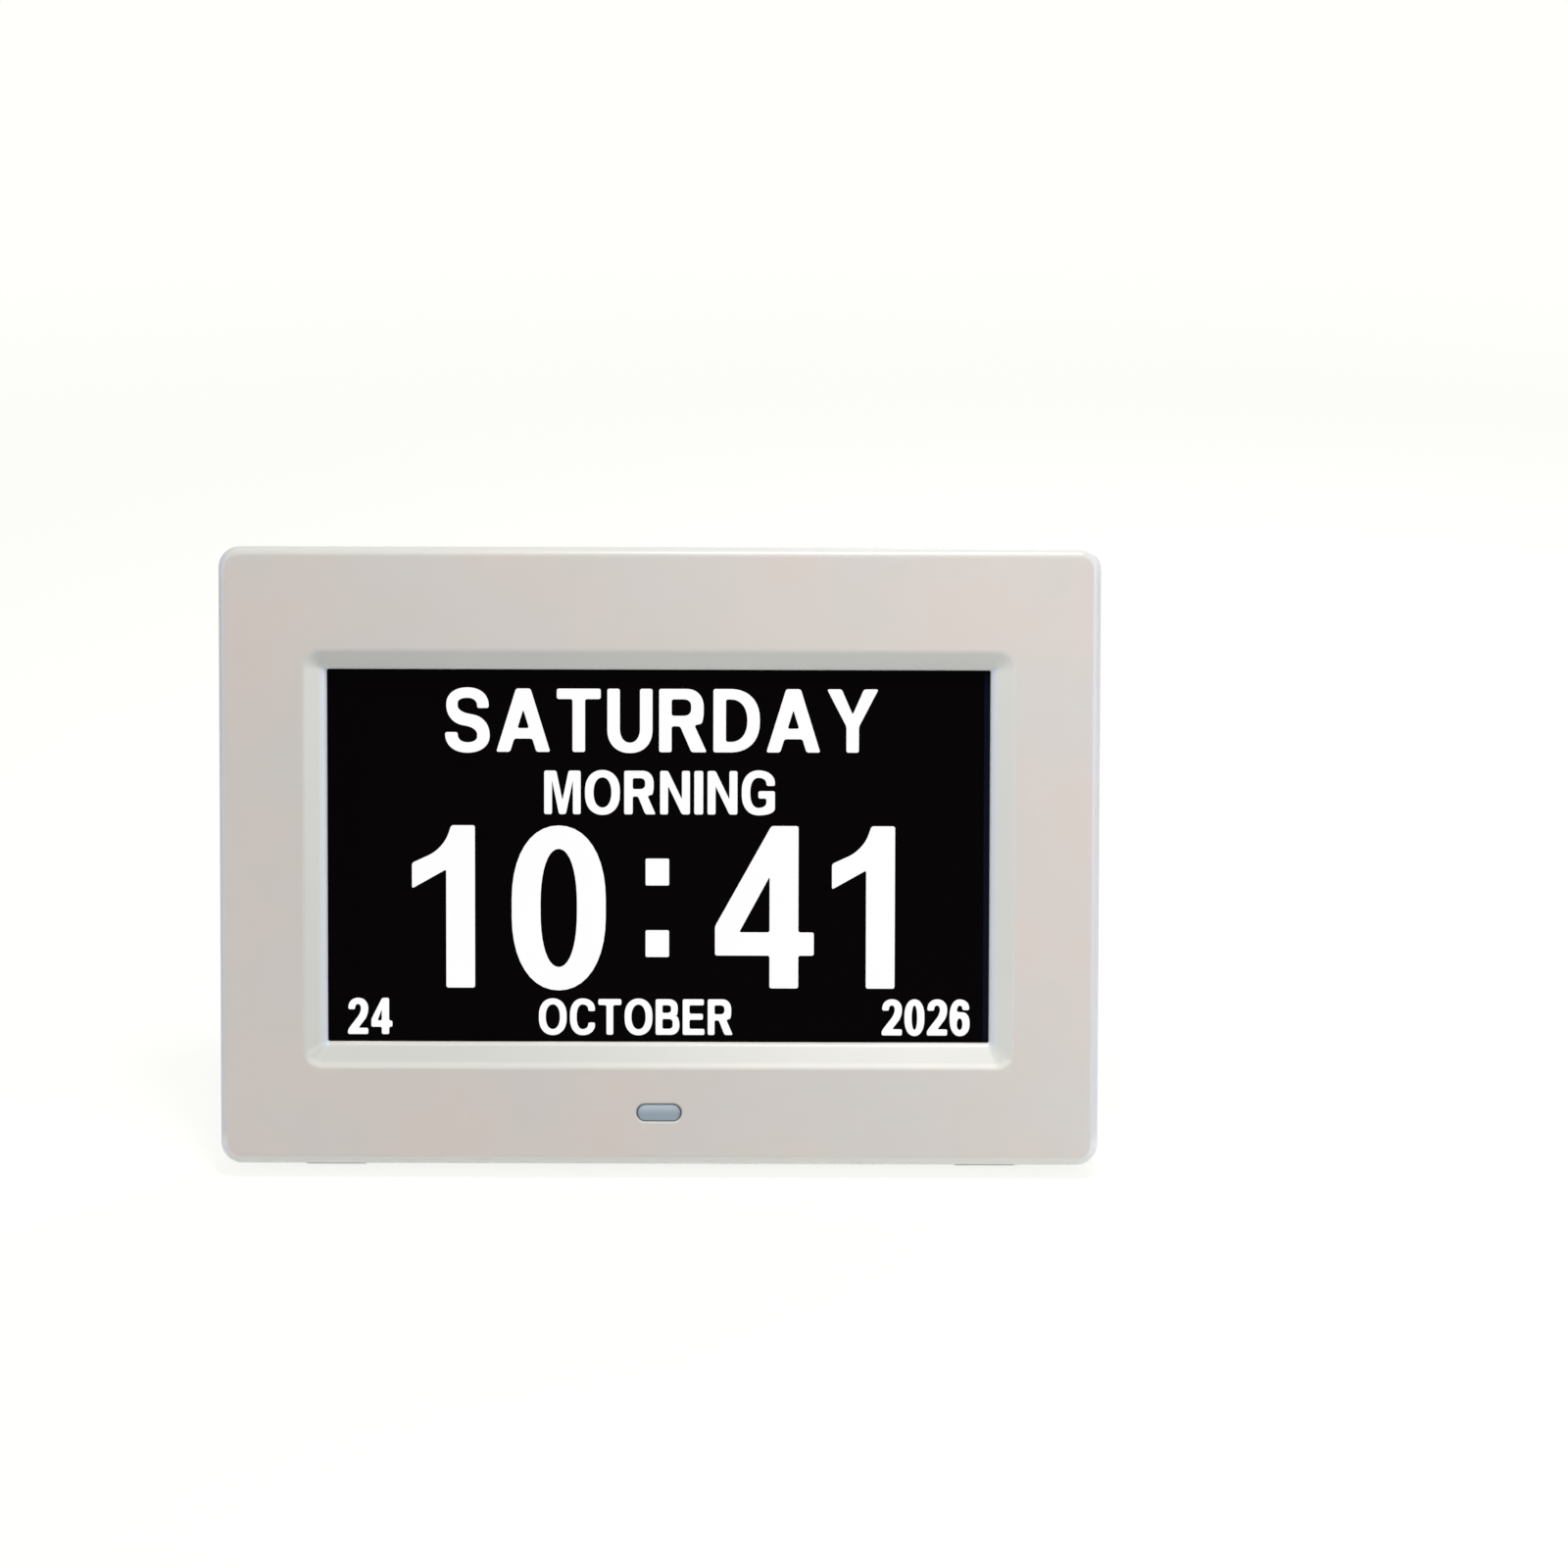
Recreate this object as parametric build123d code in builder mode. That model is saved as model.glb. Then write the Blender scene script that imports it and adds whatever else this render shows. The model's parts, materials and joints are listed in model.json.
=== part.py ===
from build123d import *
import os
from math import cos, radians, sin, sqrt, tan

os.makedirs("parts", exist_ok=True)

# A desk calendar clock with a seven inch screen. It leans back on two small feet and a
# fold-out leg. Lengths are in millimetres and angles in degrees. Places are given across
# the face (u), up the face (v) and as a depth behind the face.

# Screen module, which the housing is built round
lcd_w = 165.0
lcd_h = 100.0
lcd_depth = 5.7
gasket_t = 0.4
frame_t = 0.35
frame_side = 0.5
frame_lip_side = 3.7
frame_lip_end = 5.5
glass_t = 1.4
guide_t = 2.4
diffuser_t = 0.5
tray_t = 0.8
led_count = 9
led_len = 3.6
slack = 0.2
seat_t = 1.8
seat_under = 2.2
rib_t = 1.4
rib_depth = 5.0
rib_pitch = 40.0
hook_w = 10.0
hook_u = 66.0
hook_nose = 1.0
hook_room = 0.5

# Housing: rails round the screen, and the shells' thickness
rail_side = 20.0
rail_end = 22.0
corner_r = 5.0
face_edge_r = 2.4
wall = 2.2
cover_rim = 5.0
reveal = 0.6
lean = 15.0

# Mouth: the sloped frame round the screen, and its rounded nose next to the glass
window_side = 5.2
window_end = 6.45
window_r = 0.4
window_shift = 0.3
slope_side = 5.4
slope_end = 5.1
mouth_drop = 0.75
mouth_r = 4.0
shoulder_r = 1.8
slope_depth = 3.3
nose_drop = 0.8
nose_r = 1.2

# Case screws
boss_w = 6.4
screw_hole_r = 1.1
screw_hole_len = 6.0
screw_clear_r = 1.5
screw_head_r = 2.9
screw_head_depth = 2.0
boss_inset = 8.0

# Joint between bezel and cover, and the notches for prying them apart
tongue_t = 1.6
tongue_h = 1.5
tongue_gap = 0.15
notch_v = -20.0
notch_len = 6.0
notch_in = 0.5
notch_t = 1.2

# Pod: the raised middle of the cover
pod_side = 18.5
pod_end = 18.0
pod_r = 9.0
pod_wall = 2.0
pod_draft = 6.0
pod_edge_r = 2.5
back_edge_r = 1.6

# Infrared window in the lower rail
ir_w = 11.4
ir_h = 5.0
ir_rise = 12.3
ir_rim = 0.4
ir_gap = 0.12
ir_sunk = 0.4
ir_edge = 0.2
ir_flange = 1.3
ir_flange_t = 0.8

# Infrared receiver behind the window
ir_board_w = 16.0
ir_board_h = 10.0
ir_board_t = 1.0
ir_post_w = 2.4
ir_post_pitch = 12.0
receiver_w = 5.4
receiver_h = 6.0
receiver_t = 1.8
eye_r = 1.6
eye_t = 1.0
eye_edge = 0.6
eye_gap = 0.6

# Main board: its margins inside the pod's outline, and its screws, measured from its edges
board_left = 6.0
board_right = 4.0
board_high = 19.0
board_low = 13.0
board_t = 1.6
board_gap = 2.8
board_r = 2.0
board_boss_r = 2.6
board_hole_r = 1.0
board_hole_len = 6.0
board_screw_in = 4.0
board_screw_left = (22.0, 34.0)
board_screw_right = (30.0, 20.0)

# Parts on the main board
parts_room = 3.6
package_edge = 0.12
chip_at = (0.0, -2.0)
chip_w = 14.0
chip_t = 1.2
memory_at = (0.0, -20.0)
memory_w = 10.0
memory_h = 8.0
memory_t = 1.0
regulator_at = (18.0, -20.0)
regulator_w = 6.5
regulator_h = 6.1
regulator_t = 2.3
choke_at = (18.0, -31.0)
choke_w = 7.8
choke_t = 3.0
crystal_at = (0.0, 16.0)
crystal_len = 11.0
crystal_w = 4.6
crystal_t = 3.0
cap_places = {"capacitor_1": (-33.0, -6.0), "capacitor_2": (-33.0, -16.0)}
cap_r = 3.15
cap_t = 5.8
cell_at = (-38.0, 14.0)
cell_r = 10.0
cell_t = 3.2
cell_edge = 0.4
holder_w = 22.0
holder_floor = 0.8
header_w = 7.0
header_h = 4.0
header_t = 2.4

# Sockets in the right-hand side of the pod
socket_gap = 0.6
jack_v = -31.0
jack_len = 14.0
jack_w = 9.0
jack_t = 9.4
jack_bore_r = 2.85
jack_bore_len = 9.5
jack_pin_r = 1.0
jack_pin_edge = 0.4
jack_port_r = 4.0
usb_v = -10.0
usb_len = 14.0
usb_w = 14.4
usb_t = 7.0
usb_skin = 0.6
usb_tongue_t = 1.9
usb_tongue_w = 11.0
usb_tongue_len = 9.0
card_v = 15.0
card_len = 28.0
card_w = 28.0
card_t = 2.9
card_slot_w = 24.4
card_slot_t = 2.3
port_margin = 0.5

# Keys on the back, midway between the leg's bay and the sockets
key_v = -10.0
key_pitch = 10.5
key_r = 3.2
key_gap = 0.3
key_rise = 1.2
key_flange = 0.9
key_flange_t = 0.7
key_slack = 0.1
key_edge = 0.5
key_travel = 0.4
key_room = 1.2
key_board_w = 28.0
key_board_h = 46.0
key_boss_w = 4.4
switch_w = 6.0
switch_t = 3.4
plunger_r = 1.6
plunger_gap = 0.08
plunger_in = 0.8

# Speaker on the left
speaker_side = 23.0
speaker_up = 32.0
speaker_r = 14.0
speaker_rim_t = 0.9
speaker_rim_in = 1.6
basket_t = 4.0
basket_skin = 0.8
cone_neck_r = 4.3
magnet_r = 7.0
speaker_pin_w = 2.0
cone_t = 0.3
holder_ring_t = 1.2
holder_ring_h = 4.0
grille_slot = 1.6
grille_pitch = 3.4
grille_r = 11.0
grille_rows = 7

# Vents and hanging keyholes, measured from the edges of the pod
vent_len = 15.0
vent_t = 2.0
vent_drop = 10.0
vent_pitch_u = 20.0
vent_pitch_v = 5.0
keyhole_side = 18.0
keyhole_drop = 19.0
keyhole_r = 4.0
keyhole_slot = 4.0
keyhole_run = 8.0

# Leg
open_angle = 30.0
hinge_drop = 28.0
leg_t = 6.0
leg_top_w = 44.0
leg_tip_w = 36.0
leg_sunk = 0.4
leg_skin = 1.8
leg_rim = 2.2
leg_rib = 1.6
leg_edge_r = 0.8
leg_gap = 0.6
barrel_r = 3.3
pin_r = 1.5
pin_gap = 0.06
pin_seat_gap = 0.01
recess_side_gap = 1.0
recess_skin = 1.8
recess_side = 3.0
recess_head = 8.6
heel_len = 6.4
heel_t = 2.6
heel_gap = 0.08
pad_t = 2.6
pad_len = 8.6
pad_over = 1.0
pad_r = 2.0

# Feet under the back edge
foot_rise = 0.8
foot_len = 14.0
foot_inset = 26.0
foot_front = 3.4
foot_back = 0.8

# Flat leads inside the housing, and the share of a run that each end of it gives to a bend
flex_w = 36.0
flex_t = 0.3
flex_u = 40.0
flex_in = 0.35
flex_drop = 6.0
ribbon_w = 3.6
ribbon_t = 0.9
ribbon_in = 1.0
bend_share = 0.45

# Outlines, from the screen outwards
width = lcd_w + 2 * rail_side
height = lcd_h + 2 * rail_end
window_w = lcd_w - 2 * window_side
window_h = lcd_h - 2 * window_end
mouth_w = window_w + 2 * slope_side
mouth_h = window_h + 2 * slope_end
frame_mouth_w = lcd_w - 2 * frame_lip_side
frame_mouth_h = lcd_h - 2 * frame_lip_end
pod_w = width - 2 * pod_side
pod_h = height - 2 * pod_end

# Depths, from the face backwards: mouth, screen, main board, floor of the leg's bay, leg
ring_depth = slope_depth + nose_drop
lcd_front = ring_depth + gasket_t
lcd_back = lcd_front + lcd_depth
seat_depth = lcd_back - seat_under
floor_depth = lcd_back + slack / 2 + hook_nose + hook_room
edge_depth = floor_depth + wall
bezel_depth = edge_depth - cover_rim
board_depth = lcd_back + board_gap
board_back = board_depth + board_t
recess_inner = board_back + parts_room
recess_floor = recess_inner + recess_skin
hinge_depth = recess_floor + leg_gap + leg_t / 2
total_depth = hinge_depth + leg_t / 2 + leg_sunk
back_inside = total_depth - pod_wall
hinge_v = pod_h / 2 - hinge_drop

# The housing's own frame: x runs across the face, y up it and z straight out of it
lean_sin = sin(radians(lean))
lean_cos = cos(radians(lean))
centre_z = foot_rise + (height / 2 - reveal) * lean_cos + edge_depth * lean_sin
leg_angle = open_angle - lean
hinge_z = centre_z + hinge_v * lean_cos - hinge_depth * lean_sin
leg_reach = hinge_z * tan(radians(leg_angle))
front_y = (face_edge_r - height / 2) * lean_sin + face_edge_r * lean_cos - face_edge_r
back_y = hinge_v * lean_sin + hinge_depth * lean_cos + leg_reach + pad_len / 2
centre_y = -(front_y + back_y) / 2
hinge_y = centre_y + hinge_v * lean_sin + hinge_depth * lean_cos
foot_y = hinge_y + leg_reach
face = Plane(origin=(0, centre_y, centre_z), x_dir=(1, 0, 0), z_dir=(0, -lean_cos, lean_sin))
outward = Axis(face.origin, face.z_dir)
rightward = Axis(face.origin, face.x_dir)
upward = Axis(face.origin, face.y_dir)

# Sizes that follow from the ones above
inner_w = width - 2 * wall
inner_h = height - 2 * wall
inner_r = corner_r - wall
cover_w = width - 2 * reveal
cover_h = height - 2 * reveal
cover_r = corner_r - reveal
glass_front = lcd_front + frame_t
glass_back = glass_front + glass_t
tray_w = lcd_w - 2 * frame_side - slack
tray_h = lcd_h - 2 * frame_side - slack
tray_inner_w = tray_w - 2 * tray_t
tray_inner_h = tray_h - 2 * tray_t
tray_floor = lcd_back - tray_t
guide_front = tray_floor - guide_t
seat_w = lcd_w + 2 * slack + 2 * seat_t
seat_h = lcd_h + 2 * slack + 2 * seat_t
flange_depth = back_inside - key_slack - key_flange_t
switch_top = flange_depth - key_room
key_board_back = switch_top - switch_t
key_board_depth = key_board_back - board_t
ir_v = ir_rise - height / 2
ir_board_depth = wall + ir_flange_t + eye_gap + eye_t + receiver_t
recess_w = leg_top_w + 2 * recess_side_gap
recess_top = hinge_v + recess_head
bay_w = recess_w + 2 * recess_side
draft = tan(radians(pod_draft))

# Edges of the main board, its screws, and what is placed from the edges of the pod
board_start = board_left - pod_w / 2
board_end = pod_w / 2 - board_right
board_top = pod_h / 2 - board_high
board_bottom = board_low - pod_h / 2
board_screws = [
    (board_start + board_screw_left[0], board_top - board_screw_in),
    (board_end - board_screw_right[0], board_top - board_screw_in),
    (board_start + board_screw_left[1], board_bottom + board_screw_in),
    (board_end - board_screw_right[1], board_bottom + board_screw_in),
]
speaker_u = speaker_side - pod_w / 2
speaker_v = speaker_up - pod_h / 2
vent_v = pod_h / 2 - vent_drop
keyhole_u = pod_w / 2 - keyhole_side
keyhole_v = pod_h / 2 - keyhole_drop


def at(depth):
    return face.offset(-depth)


def from_back(depth):
    return Plane(origin=at(depth).origin, x_dir=(-1, 0, 0), z_dir=-face.z_dir)


def side(u):
    # x is the depth behind the face, y runs up the face and z to the right
    return Plane(origin=(u, centre_y, centre_z), x_dir=-face.z_dir, z_dir=(1, 0, 0))


def turning(u, v):
    # for turned pieces that stand square to the face: x runs across and y is the depth
    return Plane(origin=face.from_local_coords((u, v, 0)), x_dir=(1, 0, 0), z_dir=face.y_dir)


def pod_inside(depth):
    # half the width inside the pod, which narrows towards its back
    return pod_w / 2 - pod_wall - (depth - floor_depth) * draft


# Sockets end short of the pod's side wall, which is nearest at their back corners
socket_face = pod_inside(board_back + jack_t) - socket_gap
key_u = (bay_w / 2 + socket_face - usb_len) / 2
keys = {
    "ok": (key_u, key_v),
    "up": (key_u, key_v + key_pitch),
    "down": (key_u, key_v - key_pitch),
    "left": (key_u + key_pitch, key_v),
    "right": (key_u - key_pitch, key_v),
    "power": (key_u + key_pitch, key_v + 2 * key_pitch),
    "menu": (key_u - key_pitch, key_v + 2 * key_pitch),
}

# Front bezel: a thin-walled frame whose mouth slopes in to the screen
with BuildPart() as front_bezel:
    with BuildSketch(face):
        RectangleRounded(width, height, corner_r)
    extrude(amount=-bezel_depth)
    fillet(front_bezel.faces().sort_by(outward)[-1].edges(), face_edge_r)
    with BuildSketch(at(wall)):
        RectangleRounded(inner_w, inner_h, inner_r)
    extrude(amount=wall - bezel_depth, mode=Mode.SUBTRACT)
    # Raised seat that carries the screen, tied to the rails by ribs
    with BuildSketch(at(wall)):
        Rectangle(seat_w, seat_h)
    extrude(amount=wall - seat_depth)
    with BuildSketch(at(wall)):
        with GridLocations(rib_pitch, (seat_h + inner_h) / 2, 4, 2):
            Rectangle(rib_t, (inner_h - seat_h) / 2 + rib_t)
    extrude(amount=wall - rib_depth)
    with BuildSketch(at(ring_depth)):
        Rectangle(lcd_w + 2 * slack, lcd_h + 2 * slack)
    extrude(amount=ring_depth - seat_depth, mode=Mode.SUBTRACT)
    # Gap in the seat for the screen's flat lead
    with BuildSketch(at(ring_depth)):
        with Locations((flex_u, -seat_h / 2)):
            Rectangle(flex_w + 4 * slack, 4 * seat_t)
    extrude(amount=ring_depth - seat_depth, mode=Mode.SUBTRACT)
    # Mouth with a soft shoulder, deeper below the screen than above it, and a round nose
    with BuildSketch(face):
        with Locations((0, -mouth_drop)):
            RectangleRounded(mouth_w, mouth_h, mouth_r)
    with BuildSketch(at(slope_depth)):
        with Locations((-window_shift, 0)):
            RectangleRounded(window_w, window_h, window_r)
    loft(ruled=True, mode=Mode.SUBTRACT)
    shoulder = front_bezel.faces().sort_by(outward)[-1].inner_wires()[0].edges()
    fillet(shoulder, shoulder_r)
    with BuildSketch(at(slope_depth)):
        with Locations((-window_shift, 0)):
            RectangleRounded(window_w, window_h, window_r)
    extrude(amount=-nose_drop, mode=Mode.SUBTRACT)
    nose = front_bezel.edges().filter_by_position(rightward, -mouth_w / 2, mouth_w / 2)
    nose = nose.filter_by_position(upward, -mouth_h / 2, mouth_h / 2)
    nose = nose.filter_by_position(outward, -ring_depth, -(wall + slope_depth) / 2)
    fillet(nose.group_by(outward)[-1], nose_r)
    # Slot for the infrared window, and two posts for the board behind it
    with BuildSketch(face):
        with Locations((0, ir_v)):
            SlotOverall(ir_w - 2 * ir_rim, ir_h - 2 * ir_rim)
    extrude(amount=-wall, mode=Mode.SUBTRACT)
    ir_slot = front_bezel.faces().sort_by(outward)[-1].inner_wires().sort_by(Axis.Z)[0].edges()
    chamfer(ir_slot, ir_rim)
    with BuildSketch(at(wall)):
        with Locations((0, ir_v)):
            with GridLocations(ir_post_pitch + ir_post_w, ir_post_w, 2, 1):
                Rectangle(ir_post_w, ir_post_w)
    extrude(amount=wall - ir_board_depth)
    # Screw posts
    with BuildSketch(at(wall)):
        with GridLocations(width - 2 * boss_inset, height - 2 * boss_inset, 2, 2):
            Rectangle(boss_w, boss_w)
    extrude(amount=wall - bezel_depth)
    with BuildSketch(at(bezel_depth)):
        with GridLocations(width - 2 * boss_inset, height - 2 * boss_inset, 2, 2):
            Circle(screw_hole_r)
    extrude(amount=screw_hole_len, mode=Mode.SUBTRACT)
    # Hooks that snap over the back of the screen
    for end in (-1, 1):
        for u in (-hook_u, hook_u):
            inner_v = end * (lcd_h / 2 + slack)
            with BuildSketch(side(u - hook_w / 2)):
                with BuildLine():
                    Polyline(
                        (seat_depth, inner_v),
                        (lcd_back + slack / 2, inner_v),
                        (lcd_back + slack / 2, inner_v - end * hook_nose),
                        (lcd_back + slack / 2 + hook_nose, inner_v),
                        (lcd_back + slack / 2 + hook_nose, inner_v + end * seat_t),
                        (seat_depth, inner_v + end * seat_t),
                        close=True,
                    )
                make_face()
            extrude(amount=hook_w)
    # Notches for prying the cover off
    with BuildSketch(at(bezel_depth)):
        with Locations((-width / 2, notch_v), (width / 2, notch_v)):
            Rectangle(2 * notch_in, notch_len)
    extrude(amount=notch_t, mode=Mode.SUBTRACT)
front_bezel.part.label = "front_bezel"
export_step(front_bezel.part, "parts/front_bezel.step")

# Infrared window: a flanged plug, slightly sunk in its slot
with BuildPart() as ir_window:
    with BuildSketch(at(ir_sunk)):
        with Locations((0, ir_v)):
            SlotOverall(ir_w - 2 * ir_rim - 2 * ir_gap, ir_h - 2 * ir_rim - 2 * ir_gap)
    extrude(amount=ir_sunk - wall)
    chamfer(ir_window.faces().sort_by(outward)[-1].edges(), ir_edge)
    with BuildSketch(at(wall)):
        with Locations((0, ir_v)):
            Rectangle(ir_w - 2 * ir_rim + ir_flange, ir_h - 2 * ir_rim + ir_flange)
    extrude(amount=-ir_flange_t)
ir_window.part.label = "ir_window"
export_step(ir_window.part, "parts/ir_window.step")

# Rear cover: a shallow tray with a drafted pod, which has a bay for the leg
with BuildPart() as rear_cover:
    with BuildSketch(at(bezel_depth)):
        RectangleRounded(cover_w, cover_h, cover_r)
    extrude(amount=bezel_depth - edge_depth)
    fillet(rear_cover.faces().sort_by(outward)[0].edges(), back_edge_r)
    with BuildSketch(from_back(edge_depth)):
        RectangleRounded(pod_w, pod_h, pod_r)
    extrude(amount=total_depth - edge_depth, taper=pod_draft)
    fillet(rear_cover.faces().sort_by(outward)[0].edges(), pod_edge_r)
    with BuildSketch(at(bezel_depth)):
        RectangleRounded(cover_w - 2 * wall, cover_h - 2 * wall, cover_r - wall)
    extrude(amount=bezel_depth - floor_depth, mode=Mode.SUBTRACT)
    with BuildSketch(from_back(floor_depth)):
        RectangleRounded(pod_w - 2 * pod_wall, pod_h - 2 * pod_wall, pod_r - pod_wall)
    extrude(amount=back_inside - floor_depth, taper=pod_draft, mode=Mode.SUBTRACT)
    # Tongue that locates the cover inside the bezel
    with BuildSketch(at(bezel_depth - tongue_h)):
        RectangleRounded(inner_w - 2 * tongue_gap, inner_h - 2 * tongue_gap, inner_r)
        offset(amount=-tongue_t, mode=Mode.SUBTRACT)
    extrude(amount=bezel_depth - tongue_h - floor_depth)
    # Pillars and counterbored holes for the case screws
    with BuildSketch(at(bezel_depth)):
        with GridLocations(width - 2 * boss_inset, height - 2 * boss_inset, 2, 2):
            Rectangle(boss_w, boss_w)
    extrude(amount=bezel_depth - floor_depth)
    with Locations(from_back(edge_depth)):
        with GridLocations(width - 2 * boss_inset, height - 2 * boss_inset, 2, 2):
            CounterBoreHole(screw_clear_r, screw_head_r, screw_head_depth, edge_depth - bezel_depth)
    # Bay for the leg, open at the foot of the pod
    bay_bottom = pod_wall / 2 + (total_depth - edge_depth) * draft - pod_h / 2
    bay_h = recess_top + recess_side - bay_bottom
    with BuildSketch(at(recess_inner)):
        with Locations((0, bay_bottom + bay_h / 2)):
            Rectangle(bay_w, bay_h)
    extrude(amount=recess_inner - back_inside - pod_wall / 2)
    with BuildSketch(at(recess_floor)):
        with Locations((0, (recess_top - pod_h) / 2)):
            Rectangle(recess_w, recess_top + pod_h)
    extrude(amount=recess_floor - total_depth - pod_wall, mode=Mode.SUBTRACT)
    with BuildSketch(side(-bay_w / 2)):
        with Locations((hinge_depth, hinge_v)):
            Circle(pin_r + pin_seat_gap)
    extrude(amount=bay_w, mode=Mode.SUBTRACT)
    # Bosses for the main board and the key board
    with BuildSketch(at(board_back)):
        with Locations(*board_screws):
            Circle(board_boss_r)
    extrude(amount=board_back - back_inside)
    with BuildSketch(at(board_back)):
        with Locations(*board_screws):
            Circle(board_hole_r)
    extrude(amount=-board_hole_len, mode=Mode.SUBTRACT)
    key_mid_v = key_v + key_pitch / 2
    key_boss_v = (key_board_h - key_boss_w) / 2
    with BuildSketch(at(key_board_back)):
        with Locations((key_u, key_mid_v - key_boss_v)):
            with GridLocations(key_board_w - key_boss_w, key_boss_w, 2, 1):
                Rectangle(key_boss_w, key_boss_w)
        with Locations((key_u, key_mid_v + key_boss_v)):
            Rectangle(key_boss_w, key_boss_w)
    extrude(amount=key_board_back - back_inside)
    # Ring that holds the speaker, and its grille
    with BuildSketch(at(back_inside - holder_ring_h)):
        with Locations((speaker_u, speaker_v)):
            Circle(speaker_r + slack + holder_ring_t)
            Circle(speaker_r + slack, mode=Mode.SUBTRACT)
    extrude(amount=-holder_ring_h)
    with BuildSketch(at(total_depth)):
        for row in range(grille_rows):
            row_v = (row - (grille_rows - 1) / 2) * grille_pitch
            with Locations((speaker_u, speaker_v + row_v)):
                SlotOverall(2 * sqrt(grille_r**2 - row_v**2), grille_slot)
        # Vents along the top
        with Locations((0, vent_v)):
            with GridLocations(vent_pitch_u, vent_pitch_v, 5, 2):
                Rectangle(vent_len, vent_t)
        # Keyholes for hanging the clock on two screws
        for u in (-keyhole_u, keyhole_u):
            with Locations((u, keyhole_v)):
                Circle(keyhole_r)
            with Locations((u, keyhole_v + keyhole_run / 2)):
                SlotCenterToCenter(keyhole_run, keyhole_slot, rotation=90)
        # Holes for the keys
        with Locations(*keys.values()):
            Circle(key_r + key_gap)
    extrude(amount=pod_wall, mode=Mode.SUBTRACT)
    # Ports in the right-hand wall
    with BuildSketch(side(socket_face)):
        with Locations((board_back + jack_t / 2, jack_v)):
            Circle(jack_port_r)
        with Locations((board_back + usb_t / 2, usb_v)):
            Rectangle(usb_t + 2 * port_margin, usb_w + 2 * port_margin)
        with Locations((board_back + card_t / 2, card_v)):
            Rectangle(card_slot_t, card_slot_w + 2 * port_margin)
    extrude(amount=pod_w / 2 - socket_face, mode=Mode.SUBTRACT)
rear_cover.part.label = "rear_cover"
export_step(rear_cover.part, "parts/rear_cover.step")

# Feet: rubber wedges under the back edge, each with a level sole
sole_top = -cover_h / 2
foot_span = [edge_depth - foot_back - foot_front, edge_depth - foot_back]
foot_drop = [(foot_rise + (edge_depth - d) * lean_sin) / lean_cos for d in foot_span]
for name, foot_u in (("foot_left", -1), ("foot_right", 1)):
    with BuildPart() as foot:
        with BuildSketch(side(foot_u * (width / 2 - foot_inset) - foot_len / 2)):
            with BuildLine():
                Polyline(
                    (foot_span[0], sole_top),
                    (foot_span[1], sole_top),
                    (foot_span[1], sole_top - foot_drop[1]),
                    (foot_span[0], sole_top - foot_drop[0]),
                    close=True,
                )
            make_face()
        extrude(amount=foot_len)
    foot.part.label = name
    export_step(foot.part, f"parts/{name}.step")

# Gasket: a flat foam frame between the bezel and the screen
with BuildPart() as lcd_gasket:
    with BuildSketch(at(ring_depth)):
        Rectangle(lcd_w, lcd_h)
        Rectangle(frame_mouth_w, frame_mouth_h, mode=Mode.SUBTRACT)
    extrude(amount=-gasket_t)
lcd_gasket.part.label = "lcd_gasket"
export_step(lcd_gasket.part, "parts/lcd_gasket.step")

# Screen frame: folded steel with a front flange and a gap for the flat lead
with BuildPart() as lcd_frame:
    with BuildSketch(at(lcd_front)):
        Rectangle(lcd_w, lcd_h)
    extrude(amount=-lcd_depth)
    with BuildSketch(at(glass_front)):
        Rectangle(lcd_w - 2 * frame_side, lcd_h - 2 * frame_side)
    extrude(amount=glass_front - lcd_back, mode=Mode.SUBTRACT)
    with BuildSketch(at(lcd_front)):
        Rectangle(frame_mouth_w, frame_mouth_h)
    extrude(amount=-frame_t, mode=Mode.SUBTRACT)
    with BuildSketch(at(glass_front)):
        with Locations((flex_u, -lcd_h / 2)):
            Rectangle(flex_w + 2 * slack, 4 * frame_side)
    extrude(amount=-glass_t, mode=Mode.SUBTRACT)
lcd_frame.part.label = "lcd_frame"
export_step(lcd_frame.part, "parts/lcd_frame.step")

with BuildPart() as lcd_glass:
    with BuildSketch(at(glass_front)):
        Rectangle(tray_w, tray_inner_h)
    extrude(amount=-glass_t)
lcd_glass.part.label = "lcd_glass"
export_step(lcd_glass.part, "parts/lcd_glass.step")

# Tray behind the glass, with a rim that the glass rests on
with BuildPart() as reflector_tray:
    with BuildSketch(at(glass_back)):
        Rectangle(tray_w, tray_h)
    extrude(amount=glass_back - lcd_back)
    with BuildSketch(at(glass_back)):
        Rectangle(tray_inner_w, tray_inner_h)
    extrude(amount=glass_back - tray_floor, mode=Mode.SUBTRACT)
reflector_tray.part.label = "reflector_tray"
export_step(reflector_tray.part, "parts/reflector_tray.step")

strip_room = tray_t + 2 * frame_side
with BuildPart() as light_guide:
    with BuildSketch(at(guide_front)):
        with Locations((strip_room, 0)):
            Rectangle(tray_inner_w - 2 * strip_room, tray_inner_h - slack)
    extrude(amount=-guide_t)
light_guide.part.label = "light_guide"
export_step(light_guide.part, "parts/light_guide.step")

with BuildPart() as diffuser_sheet:
    with BuildSketch(at(guide_front - diffuser_t)):
        with Locations((strip_room, 0)):
            Rectangle(tray_inner_w - 2 * strip_room, tray_inner_h - slack)
    extrude(amount=-diffuser_t)
diffuser_sheet.part.label = "diffuser_sheet"
export_step(diffuser_sheet.part, "parts/diffuser_sheet.step")

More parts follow.
